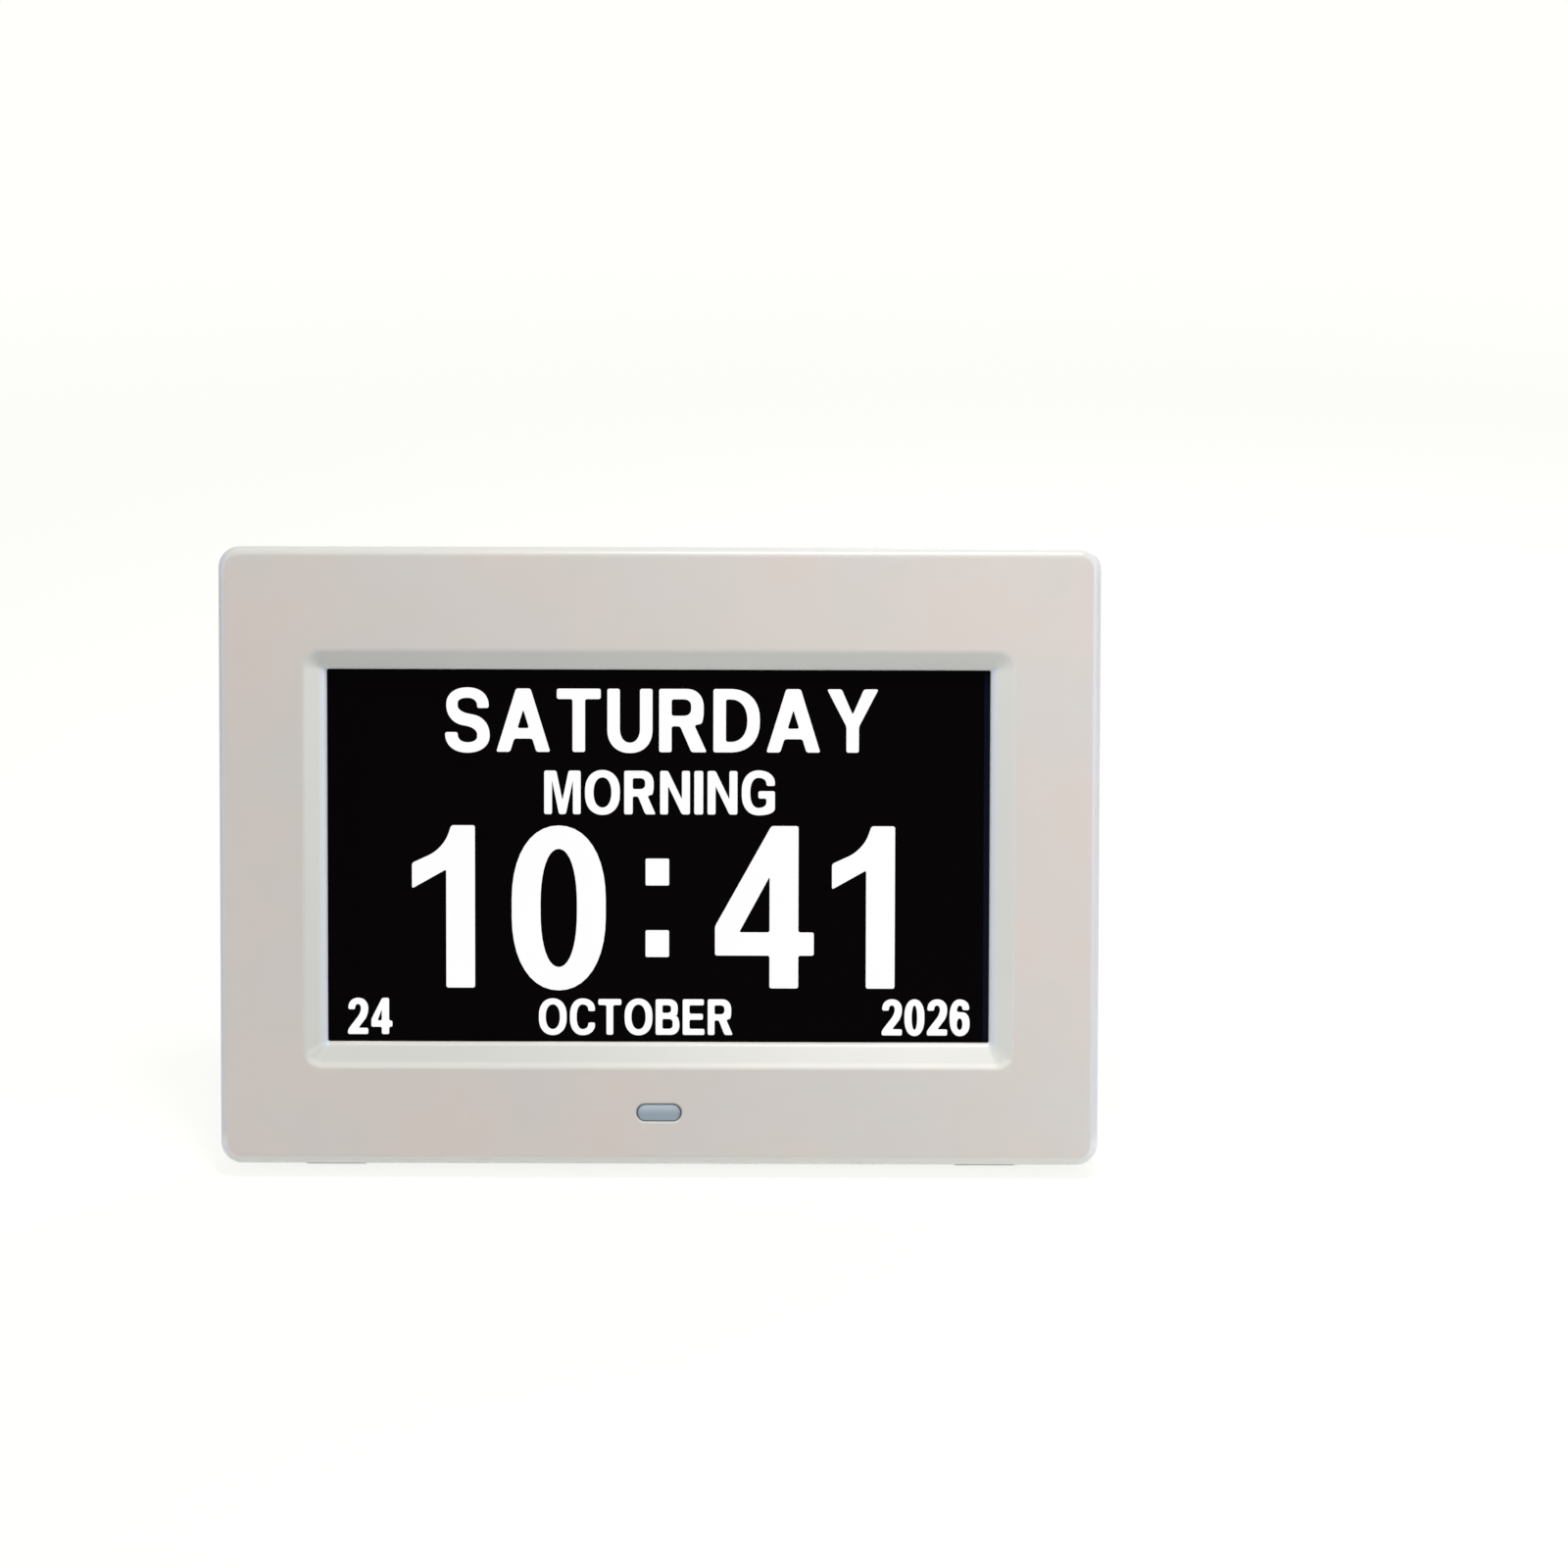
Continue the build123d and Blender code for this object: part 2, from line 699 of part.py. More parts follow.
# Light strip along the left end of the guide
strip_u = -tray_inner_w / 2
strip_t = frame_side
led_pitch = (tray_inner_h - 2 * strip_room) / led_count
with BuildPart() as led_strip:
    with BuildSketch(side(strip_u)):
        with Locations((tray_floor - guide_t / 2, 0)):
            Rectangle(guide_t, tray_inner_h - slack)
    extrude(amount=strip_t)
    with BuildSketch(side(strip_u + strip_t)):
        with Locations((tray_floor - guide_t / 2, 0)):
            with GridLocations(guide_t, led_pitch, 1, led_count):
                Rectangle(guide_t / 2, led_len)
    extrude(amount=tray_t)
led_strip.part.label = "led_strip"
export_step(led_strip.part, "parts/led_strip.step")

# Flat lead of the screen: out under the glass, round the tray and up to the main board
flex_start = -tray_inner_h / 2
flex_low = flex_start - flex_drop
flex_front = glass_front + glass_t / 2
flex_depth = board_depth - header_t + flex_in
flex_r = bend_share * (flex_depth - flex_front)
with BuildPart() as lcd_flex:
    with BuildSketch(side(flex_u - flex_w / 2)):
        with BuildLine():
            FilletPolyline(
                (flex_front, flex_start),
                (flex_front, flex_low),
                (flex_depth, flex_low),
                (flex_depth, board_bottom),
                radius=[flex_r, flex_r],
            )
        trace(line_width=flex_t)
    extrude(amount=flex_w)
lcd_flex.part.label = "lcd_flex"
export_step(lcd_flex.part, "parts/lcd_flex.step")
print("flat lead radius", round(flex_r, 2), "on a thickness of", flex_t)

# Main board, drilled for its screws
with BuildPart() as main_board:
    with BuildSketch(at(board_depth)):
        with Locations(((board_start + board_end) / 2, (board_bottom + board_top) / 2)):
            RectangleRounded(board_end - board_start, board_top - board_bottom, board_r)
        with Locations(*board_screws):
            Circle(board_hole_r, mode=Mode.SUBTRACT)
    extrude(amount=-board_t)
main_board.part.label = "main_board"
export_step(main_board.part, "parts/main_board.step")

# Plain packages that sit on the back of the main board
packages = {
    "processor": (chip_at, chip_w, chip_w, chip_t),
    "memory_chip": (memory_at, memory_w, memory_h, memory_t),
    "voltage_regulator": (regulator_at, regulator_w, regulator_h, regulator_t),
    "power_inductor": (choke_at, choke_w, choke_w, choke_t),
}
for name, (place, across, up, thick) in packages.items():
    with BuildPart() as package:
        with BuildSketch(at(board_back)):
            with Locations(place):
                Rectangle(across, up)
        extrude(amount=-thick)
        chamfer(package.faces().sort_by(outward)[0].edges(), package_edge)
    package.part.label = name
    export_step(package.part, f"parts/{name}.step")

with BuildPart() as crystal:
    with BuildSketch(at(board_back)):
        with Locations(crystal_at):
            SlotOverall(crystal_len, crystal_w)
    extrude(amount=-crystal_t)
crystal.part.label = "crystal"
export_step(crystal.part, "parts/crystal.step")

for name, place in cap_places.items():
    with BuildPart() as capacitor:
        with BuildSketch(at(board_back)):
            with Locations(place):
                Circle(cap_r)
        extrude(amount=-cap_t)
    capacitor.part.label = name
    export_step(capacitor.part, f"parts/{name}.step")

with BuildPart() as coin_cell_holder:
    with BuildSketch(at(board_back)):
        with Locations(cell_at):
            Rectangle(holder_w, holder_w)
    extrude(amount=-parts_room)
    with BuildSketch(at(board_back + holder_floor)):
        with Locations(cell_at):
            Circle(cell_r + slack)
    extrude(amount=holder_floor - parts_room, mode=Mode.SUBTRACT)
coin_cell_holder.part.label = "coin_cell_holder"
export_step(coin_cell_holder.part, "parts/coin_cell_holder.step")

with BuildPart() as coin_cell:
    with BuildSketch(at(board_back + holder_floor)):
        with Locations(cell_at):
            Circle(cell_r)
    extrude(amount=-cell_t)
    chamfer(coin_cell.faces().sort_by(outward)[0].edges(), cell_edge)
coin_cell.part.label = "coin_cell"
export_step(coin_cell.part, "parts/coin_cell.step")

# Connectors on the front of the main board
with BuildPart() as flex_connector:
    with BuildSketch(at(board_depth)):
        with Locations((flex_u, board_bottom + header_h / 2)):
            Rectangle(flex_w + 2 * header_h, header_h)
    extrude(amount=header_t)
flex_connector.part.label = "flex_connector"
export_step(flex_connector.part, "parts/flex_connector.step")

with BuildPart() as header_main:
    with BuildSketch(at(board_depth)):
        with Locations((0, board_bottom + header_h / 2)):
            Rectangle(header_w, header_h)
    extrude(amount=header_t)
header_main.part.label = "header_main"
export_step(header_main.part, "parts/header_main.step")

# Power jack: a block with a round bore and a pin in its middle
jack_depth = board_back + jack_t / 2
with BuildPart() as dc_jack:
    with BuildSketch(side(socket_face - jack_len)):
        with Locations((jack_depth, jack_v)):
            Rectangle(jack_t, jack_w)
    extrude(amount=jack_len)
    with BuildSketch(side(socket_face - jack_bore_len)):
        with Locations((jack_depth, jack_v)):
            Circle(jack_bore_r)
    extrude(amount=jack_bore_len, mode=Mode.SUBTRACT)
dc_jack.part.label = "dc_jack"
export_step(dc_jack.part, "parts/dc_jack.step")

with BuildPart() as dc_jack_pin:
    with BuildSketch(side(socket_face - jack_bore_len)):
        with Locations((jack_depth, jack_v)):
            Circle(jack_pin_r)
    extrude(amount=jack_bore_len - jack_pin_r)
    chamfer(dc_jack_pin.faces().sort_by(rightward)[-1].edges(), jack_pin_edge)
dc_jack_pin.part.label = "dc_jack_pin"
export_step(dc_jack_pin.part, "parts/dc_jack_pin.step")

# USB socket: a folded shell, open to the right, and its tongue
usb_depth = board_back + usb_t / 2
with BuildPart() as usb_socket:
    with BuildSketch(side(socket_face - usb_len)):
        with Locations((usb_depth, usb_v)):
            Rectangle(usb_t, usb_w)
    extrude(amount=usb_len)
    with BuildSketch(side(socket_face - usb_len + usb_skin)):
        with Locations((usb_depth, usb_v)):
            Rectangle(usb_t - 2 * usb_skin, usb_w - 2 * usb_skin)
    extrude(amount=usb_len, mode=Mode.SUBTRACT)
usb_socket.part.label = "usb_socket"
export_step(usb_socket.part, "parts/usb_socket.step")

with BuildPart() as usb_tongue:
    with BuildSketch(side(socket_face - usb_len + usb_skin)):
        with Locations((board_back + usb_skin + slack + usb_tongue_t / 2, usb_v)):
            Rectangle(usb_tongue_t, usb_tongue_w)
    extrude(amount=usb_tongue_len)
usb_tongue.part.label = "usb_tongue"
export_step(usb_tongue.part, "parts/usb_tongue.step")

with BuildPart() as card_socket:
    with BuildSketch(side(socket_face - card_len)):
        with Locations((board_back + card_t / 2, card_v)):
            Rectangle(card_t, card_w)
    extrude(amount=card_len)
    with BuildSketch(side(socket_face - card_len + usb_skin)):
        with Locations((board_back + card_t / 2, card_v)):
            Rectangle(card_slot_t, card_slot_w)
    extrude(amount=card_len, mode=Mode.SUBTRACT)
card_socket.part.label = "card_socket"
export_step(card_socket.part, "parts/card_socket.step")

# Key board with one switch behind each key
with BuildPart() as key_board:
    with BuildSketch(at(key_board_depth)):
        with Locations((key_u, key_mid_v)):
            RectangleRounded(key_board_w, key_board_h, board_r)
    extrude(amount=-board_t)
key_board.part.label = "key_board"
export_step(key_board.part, "parts/key_board.step")

with BuildPart() as key_switches:
    with BuildSketch(at(key_board_back)):
        with Locations(*keys.values()):
            Rectangle(switch_w, switch_w)
    extrude(amount=-switch_t)
    with BuildSketch(at(switch_top)):
        with Locations(*keys.values()):
            Circle(plunger_r + plunger_gap)
    extrude(amount=plunger_in + 2 * key_travel, mode=Mode.SUBTRACT)
key_switches.part.label = "key_switches"
export_step(key_switches.part, "parts/key_switches.step")

with BuildPart() as key_header:
    with BuildSketch(at(board_back)):
        with Locations((key_u, key_mid_v - key_board_h / 2 + header_h)):
            Rectangle(2 * header_w, header_h)
    extrude(amount=board_back - key_board_depth)
key_header.part.label = "key_header"
export_step(key_header.part, "parts/key_header.step")

# Each key is a round cap on a square flange, and bears on its switch's plunger
for name, place in keys.items():
    with BuildPart() as key_cap:
        with BuildSketch(at(flange_depth)):
            with Locations(place):
                Circle(key_r)
        extrude(amount=flange_depth - total_depth - key_rise)
        chamfer(key_cap.faces().sort_by(outward)[0].edges(), key_edge)
        with BuildSketch(at(flange_depth)):
            with Locations(place):
                Rectangle(2 * (key_r + key_flange), 2 * (key_r + key_flange))
        extrude(amount=-key_flange_t)
    key_cap.part.label = f"key_{name}"
    export_step(key_cap.part, f"parts/key_{name}.step")
    with BuildPart() as plunger:
        with BuildSketch(at(flange_depth)):
            with Locations(place):
                Circle(plunger_r)
        extrude(amount=flange_depth - switch_top + plunger_in)
    plunger.part.label = f"plunger_{name}"
    export_step(plunger.part, f"parts/plunger_{name}.step")

# Speaker, turned about its own axis: basket, cone and magnet
rim_front = back_inside - speaker_rim_t
neck_depth = rim_front - basket_t
cone_rim = speaker_r - speaker_rim_in
speaker_plane = turning(speaker_u, speaker_v)
speaker_axis = Axis(speaker_plane.origin, -face.z_dir)
with BuildPart() as speaker_basket:
    with BuildSketch(speaker_plane):
        with BuildLine():
            Polyline(
                (speaker_r, back_inside),
                (speaker_r, rim_front),
                (cone_rim + basket_skin, rim_front),
                (cone_rim + basket_skin, neck_depth),
                (0, neck_depth),
                (0, neck_depth + speaker_rim_t),
                (cone_rim, neck_depth + speaker_rim_t),
                (cone_rim, back_inside),
                close=True,
            )
        make_face()
    revolve(axis=speaker_axis)
speaker_basket.part.label = "speaker_basket"
export_step(speaker_basket.part, "parts/speaker_basket.step")

with BuildPart() as speaker_cone:
    with BuildSketch(speaker_plane):
        with BuildLine():
            Polyline(
                (cone_rim, back_inside - cone_t),
                (cone_neck_r, neck_depth + 2 * speaker_rim_t),
                (0, neck_depth + 2 * speaker_rim_t),
                (0, neck_depth + 2 * speaker_rim_t + cone_t),
                (cone_neck_r, neck_depth + 2 * speaker_rim_t + cone_t),
                (cone_rim, back_inside),
                close=True,
            )
        make_face()
    revolve(axis=speaker_axis)
speaker_cone.part.label = "speaker_cone"
export_step(speaker_cone.part, "parts/speaker_cone.step")

with BuildPart() as speaker_magnet:
    with BuildSketch(at(neck_depth)):
        with Locations((speaker_u, speaker_v)):
            Circle(magnet_r)
    extrude(amount=neck_depth - board_back - header_t)
speaker_magnet.part.label = "speaker_magnet"
export_step(speaker_magnet.part, "parts/speaker_magnet.step")

# Two pins carry the speaker on the main board
with BuildPart() as speaker_pins:
    with BuildSketch(at(board_back)):
        with Locations((speaker_u, speaker_v)):
            with GridLocations(magnet_r, magnet_r, 2, 1):
                Rectangle(speaker_pin_w, speaker_pin_w)
    extrude(amount=-header_t)
speaker_pins.part.label = "speaker_pins"
export_step(speaker_pins.part, "parts/speaker_pins.step")

# Infrared receiver on its small board
with BuildPart() as ir_board:
    with BuildSketch(at(ir_board_depth)):
        with Locations((0, ir_v)):
            Rectangle(ir_board_w, ir_board_h)
    extrude(amount=-ir_board_t)
ir_board.part.label = "ir_board"
export_step(ir_board.part, "parts/ir_board.step")

with BuildPart() as ir_receiver:
    with BuildSketch(at(ir_board_depth)):
        with Locations((0, ir_v)):
            Rectangle(receiver_w, receiver_h)
    extrude(amount=receiver_t)
    with BuildSketch(at(ir_board_depth - receiver_t)):
        with Locations((0, ir_v)):
            Circle(eye_r)
    extrude(amount=eye_t)
    chamfer(ir_receiver.faces().sort_by(outward)[-1].edges(), eye_edge)
ir_receiver.part.label = "ir_receiver"
export_step(ir_receiver.part, "parts/ir_receiver.step")

header_ir_depth = ir_board_depth + ir_board_t
with BuildPart() as header_ir:
    with BuildSketch(at(header_ir_depth)):
        with Locations((0, ir_v)):
            Rectangle(header_w, header_h)
    extrude(amount=-header_t)
header_ir.part.label = "header_ir"
export_step(header_ir.part, "parts/header_ir.step")

# Ribbon lead from the receiver's header to the main board
ribbon_depth = board_depth - header_t + ribbon_in
ribbon_start = (header_ir_depth + header_t / 2, ir_v + header_h / 2)
ribbon_rise = (ribbon_start[0], ribbon_start[1] + header_h)
ribbon_top = (ribbon_depth, ribbon_start[1] + 2 * header_h)
ribbon_end = (ribbon_depth, board_bottom)
ribbon_turn = Vector(ribbon_top[0] - ribbon_rise[0], header_h).get_angle(Vector(0, 1))
ribbon_r = bend_share * header_h / tan(radians(ribbon_turn / 2))
with BuildPart() as ir_ribbon:
    with BuildSketch(side(-ribbon_w / 2)):
        with BuildLine():
            FilletPolyline(ribbon_start, ribbon_rise, ribbon_top, ribbon_end, radius=[ribbon_r, ribbon_r])
        trace(line_width=ribbon_t)
    extrude(amount=ribbon_w)
ir_ribbon.part.label = "ir_ribbon"
export_step(ir_ribbon.part, "parts/ir_ribbon.step")
print("ribbon radius", round(ribbon_r, 2), "on a thickness of", ribbon_t)

# Leg, drawn where it stands open: a ribbed blade, its barrel and the heel that stops it
hinge_plane = Plane(origin=(0, hinge_y, hinge_z), x_dir=-face.z_dir, z_dir=(1, 0, 0))
leg_back = face.y_dir * sin(radians(open_angle)) - face.z_dir * cos(radians(open_angle))
leg_side = Plane(origin=hinge_plane.origin, x_dir=leg_back, z_dir=(1, 0, 0))
blade = Plane(origin=hinge_plane.origin, x_dir=(1, 0, 0), z_dir=-leg_side.x_dir)
blade_len = hinge_z / cos(radians(leg_angle)) + leg_t
stop_front = recess_floor - hinge_depth + heel_gap
pocket_top = -barrel_r - leg_rim
pocket_low = pad_t + leg_rim + leg_t - blade_len


def leg_half(y):
    # half the blade's width at a height y up the leg, measured from the hinge
    return leg_top_w / 2 + (leg_top_w - leg_tip_w) / 2 * y / blade_len


with BuildPart() as stand_leg:
    with BuildSketch(blade.offset(leg_t / 2)):
        with BuildLine():
            Polyline(
                (-leg_top_w / 2, 0),
                (leg_top_w / 2, 0),
                (leg_tip_w / 2, -blade_len),
                (-leg_tip_w / 2, -blade_len),
                close=True,
            )
        make_face()
    extrude(amount=-leg_t)
    leg_outer = stand_leg.faces().sort_by(Axis(blade.origin, blade.z_dir))[0].edges().sort_by(Axis.X)
    fillet([leg_outer[0], leg_outer[-1]], leg_edge_r)
    # Hollow on the front, with ribs left standing
    with BuildSketch(blade.offset(leg_t / 2)):
        with BuildLine():
            Polyline(
                (leg_rim - leg_half(pocket_top), pocket_top),
                (leg_half(pocket_top) - leg_rim, pocket_top),
                (leg_half(pocket_low) - leg_rim, pocket_low),
                (leg_rim - leg_half(pocket_low), pocket_low),
                close=True,
            )
        make_face()
        with Locations((0, (pocket_top + pocket_low) / 2)):
            Rectangle(leg_rib, pocket_top - pocket_low, mode=Mode.SUBTRACT)
            with GridLocations(leg_top_w, (pocket_top - pocket_low) / 4, 1, 3):
                Rectangle(leg_top_w, leg_rib, mode=Mode.SUBTRACT)
    extrude(amount=leg_skin - leg_t, mode=Mode.SUBTRACT)
    with BuildSketch(leg_side.offset(-leg_top_w / 2)):
        Circle(barrel_r)
    extrude(amount=leg_top_w)
    with BuildSketch(hinge_plane.offset(-leg_top_w / 2)):
        with BuildLine():
            Polyline(
                (stop_front, 0),
                (stop_front, heel_len),
                (stop_front + heel_t, heel_len),
                (barrel_r / 2, 0),
                close=True,
            )
        make_face()
    extrude(amount=leg_top_w)
    split(bisect_by=Plane(origin=(0, 0, pad_t), z_dir=(0, 0, 1)), keep=Keep.TOP)
    with BuildSketch(leg_side.offset(-leg_top_w / 2)):
        Circle(pin_r + pin_gap)
    extrude(amount=leg_top_w, mode=Mode.SUBTRACT)
stand_leg.part.label = "stand_leg"
export_step(stand_leg.part, "parts/stand_leg.step")

with BuildPart() as stand_pin:
    with BuildSketch(hinge_plane.offset(-bay_w / 2)):
        Circle(pin_r)
    extrude(amount=bay_w)
stand_pin.part.label = "stand_pin"
export_step(stand_pin.part, "parts/stand_pin.step")

with BuildPart() as stand_foot_pad:
    with BuildSketch(Plane(origin=(0, foot_y, 0))):
        RectangleRounded(leg_tip_w + 2 * pad_over, pad_len, pad_r)
    extrude(amount=pad_t)
stand_foot_pad.part.label = "stand_foot_pad"
export_step(stand_foot_pad.part, "parts/stand_foot_pad.step")
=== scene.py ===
import json
import math
import bmesh
import bpy
import numpy as np
from mathutils import Matrix, Vector

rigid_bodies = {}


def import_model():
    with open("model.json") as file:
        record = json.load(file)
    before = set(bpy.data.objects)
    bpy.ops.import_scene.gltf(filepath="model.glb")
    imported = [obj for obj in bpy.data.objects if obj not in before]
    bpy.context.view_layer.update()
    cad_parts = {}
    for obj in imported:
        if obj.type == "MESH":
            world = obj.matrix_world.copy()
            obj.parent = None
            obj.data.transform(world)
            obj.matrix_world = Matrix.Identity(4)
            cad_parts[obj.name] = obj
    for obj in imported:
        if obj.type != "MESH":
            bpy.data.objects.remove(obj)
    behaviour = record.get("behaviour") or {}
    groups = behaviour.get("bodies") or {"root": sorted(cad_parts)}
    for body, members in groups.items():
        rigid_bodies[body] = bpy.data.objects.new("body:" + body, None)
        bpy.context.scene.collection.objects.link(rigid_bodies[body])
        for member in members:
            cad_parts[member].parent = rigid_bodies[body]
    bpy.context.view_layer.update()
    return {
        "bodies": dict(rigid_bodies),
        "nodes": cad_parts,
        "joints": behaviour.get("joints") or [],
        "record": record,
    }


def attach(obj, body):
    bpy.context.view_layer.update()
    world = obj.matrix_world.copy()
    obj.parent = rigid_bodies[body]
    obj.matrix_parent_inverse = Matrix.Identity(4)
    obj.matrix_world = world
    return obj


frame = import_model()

# A desk day clock with a seven inch screen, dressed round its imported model.
# Places on the clock are millimetres across the face, up the face and behind the face.

nodes = frame["nodes"]
mm = 0.001


def pointsOf(name):
    # every corner of a node's mesh, as rows of x, y, z in metres
    mesh = nodes[name].data
    flat = np.empty(len(mesh.vertices) * 3, np.float32)
    mesh.vertices.foreach_get("co", flat)
    return flat.reshape(-1, 3).astype(float)


# The face's own axes: the keys are pressed straight out of it
outAxis = Vector([j for j in frame["joints"] if j["name"] == "key_ok_press"][0]["axis"]).normalized()
rightAxis = Vector((1, 0, 0))
upAxis = outAxis.cross(rightAxis).normalized()
axes = np.array([rightAxis, upAxis, -outAxis])
bezelSpan = pointsOf("front_bezel") @ axes.T
faceCentre = [(bezelSpan[:, i].min() + bezelSpan[:, i].max()) / 2 for i in (0, 1)]
faceOrigin = rightAxis * faceCentre[0] + upAxis * faceCentre[1] - outAxis * bezelSpan[:, 2].min()


def placed(places):
    # millimetres across, up and behind the face, as metres in the shared frame
    return np.array(faceOrigin) + np.asarray(places, float) @ axes * mm


def spanOf(name):
    # lowest and highest millimetres of a node across, up and behind the face
    own = (pointsOf(name) - np.array(faceOrigin)) @ axes.T / mm
    return own.min(0), own.max(0)


def flatPlace(across, up, depth, fromBack=False):
    # where a drawing lies: its x and y run across and up the clock as seen from the front or from the back
    side = -1 if fromBack else 1
    turned = Matrix((rightAxis * side, upAxis, outAxis * side)).transposed().to_4x4()
    return Matrix.Translation(placed((across, up, depth))) @ turned


print("frame read")


class Wire:
    # one output of a shader node; arithmetic on it adds Math nodes
    def __init__(self, paint, socket):
        self.paint = paint
        self.socket = socket

    def apply(self, operation, *values):
        return self.paint.node("ShaderNodeMath", {"operation": operation}, dict(enumerate(values)))

    def __add__(self, other):
        return self.apply("ADD", self, other)

    def __radd__(self, other):
        return self.apply("ADD", other, self)

    def __sub__(self, other):
        return self.apply("SUBTRACT", self, other)

    def __rsub__(self, other):
        return self.apply("SUBTRACT", other, self)

    def __mul__(self, other):
        return self.apply("MULTIPLY", self, other)

    def __rmul__(self, other):
        return self.apply("MULTIPLY", other, self)

    def __gt__(self, other):
        return self.apply("GREATER_THAN", self, other)

    def __lt__(self, other):
        return self.apply("LESS_THAN", self, other)

    def __abs__(self):
        return self.apply("ABSOLUTE", self)

    def fold(self, pitch):
        # place inside a repeating band of that pitch
        return self.apply("WRAP", self, pitch, 0.0)

    def near(self, middle, reach):
        # 1 where it is less than reach from the middle
        return abs(self - middle) < reach

    def atLeast(self, other):
        return self.apply("MAXIMUM", self, other)

    def swing(self, reach):
        # a value from 0 to 1 as one from -reach to reach
        return (self - 0.5) * (2 * reach)

    def span(self, low, high):
        # a value from 0 to 1 as one from low to high
        return low + self * (high - low)

    def fade(self, start, end):
        # goes smoothly from 0 at start to 1 at end
        return self.paint.node("ShaderNodeMapRange", {"interpolation_type": "SMOOTHSTEP"},
                               {"Value": self, "From Min": start, "From Max": end})


class Paint:
    # the shader nodes of a material or of the world
    def __init__(self, owner, ending="ShaderNodeOutputMaterial"):
        self.owner = owner
        owner.use_nodes = True
        self.tree = owner.node_tree
        self.tree.nodes.clear()
        self.ending = self.tree.nodes.new(ending)

    def node(self, kind, settings=None, sockets=None, output=0):
        made = self.tree.nodes.new(kind)
        for key, value in (settings or {}).items():
            setattr(made, key, value)
        for key, value in (sockets or {}).items():
            socket = made.inputs[key]
            if isinstance(value, Wire):
                self.tree.links.new(value.socket, socket)
            else:
                socket.default_value = (*value[:3], 1.0) if socket.type == "RGBA" else value
        return Wire(self, made.outputs[output])

    def place(self):
        return self.node("ShaderNodeTexCoord", output="Object")

    def faceAxes(self):
        # millimetres across, up and behind the face, as three wires
        away = self.node("ShaderNodeVectorMath", {"operation": "SUBTRACT"}, {0: self.place(), 1: faceOrigin})
        dot = {"operation": "DOT_PRODUCT"}
        return [self.node("ShaderNodeVectorMath", dot, {0: away, 1: axis / mm}, "Value")
                for axis in (rightAxis, upAxis, -outAxis)]

    def noise(self, scale, detail=2.0, roughness=0.5, stretch=(1, 1, 1)):
        where = self.node("ShaderNodeMapping", None, {"Vector": self.place(), "Scale": stretch})
        return self.node("ShaderNodeTexNoise", None,
                         {"Vector": where, "Scale": scale, "Detail": detail, "Roughness": roughness})

    def between(self, factor, first, second):
        # a colour that goes from the first to the second as factor goes from 0 to 1
        return self.node("ShaderNodeMix", {"data_type": "RGBA"}, {0: factor, 6: first, 7: second}, 2)

    def shaded(self, colour, shade):
        # a colour made lighter or darker
        return self.node("ShaderNodeVectorMath", {"operation": "SCALE"}, {0: colour, "Scale": shade})

    def grey(self, level):
        return self.node("ShaderNodeCombineColor", None, {0: level, 1: level, 2: level})

    def bump(self, height, distance):
        return self.node("ShaderNodeBump", None, {"Height": height, "Distance": distance})

    def close(self, wire):
        self.tree.links.new(wire.socket, self.ending.inputs["Surface"])

    def finish(self, sockets):
        self.close(self.node("ShaderNodeBsdfPrincipled", None, sockets, "BSDF"))
        return self.owner


def newPaint(name):
    return Paint(bpy.data.materials.new(name))


def linear(red, green, blue):
    # a screen colour from 0 to 255 as the linear light that shaders use
    values = np.array([red, green, blue]) / 255
    light = np.where(values < 0.04045, values / 12.92, ((values + 0.055) / 1.055) ** 2.4)
    return tuple(light.tolist())


# Moulded housing: a warm satin face, glossier on its rounded edges and round the screen, where a cooler
# colour is a painted reflection of cool light
housingLook = {
    "warm": linear(212, 202, 197),
    "cool": linear(208, 203, 199),
    # edge: cooler than the face, a painted reflection of cool light on everything behind the face
    "edge": linear(210, 210, 206),
    # sideRim: a painted bluish reflection on the left and right rims
    "sideRim": linear(209, 209, 213),
    # lipHighlight: a painted highlight on the lip and the shoulder below the screen
    "lipHighlight": linear(225, 223, 218),
    # sideLip colour: a painted bluish reflection on the lip at the sides of the screen
    "sideLip": linear(214, 221, 229),
    # drift: painted light, the right-hand end lighter than the left
    "drift": 0.05,              # how much lighter the right-hand end is than the left
    # paleCorner: painted light on the lower left corner
    "paleCorner": 0.045,        # how much lighter the lower left corner is, and the rims and right-hand slope
    # lowRim, highRim, rightRim and slope: painted light on the lower, upper and right-hand rims and the
    # right-hand slope
    "lowRim": 0.17,
    "highRim": 0.06,
    "rightRim": 0.07,
    "slope": 0.06,
    # rightLip: painted shade on the lip at the right of the screen
    "rightLip": 0.12,           # how much darker the lip is on the right
    "shoulder": 0.7,            # how much of the painted highlight the shoulder below the screen takes
    "blotchScale": 26.0,        # patches of warm and cool
    "blotchFade": (0.35, 0.65),
    "mottleScale": 120.0,
    "mottle": 0.010,
    "faceRoughness": 0.46,
    "edgeRoughness": 0.24,
    "mottleRoughness": 0.03,
    "dustRoughness": 0.2,
    "grainScale": 1800.0,
    "grain": 0.000010,
    "smoothEdge": 0.85,         # how much of the grain is missing on the edges
    "dust": 0.22,
}
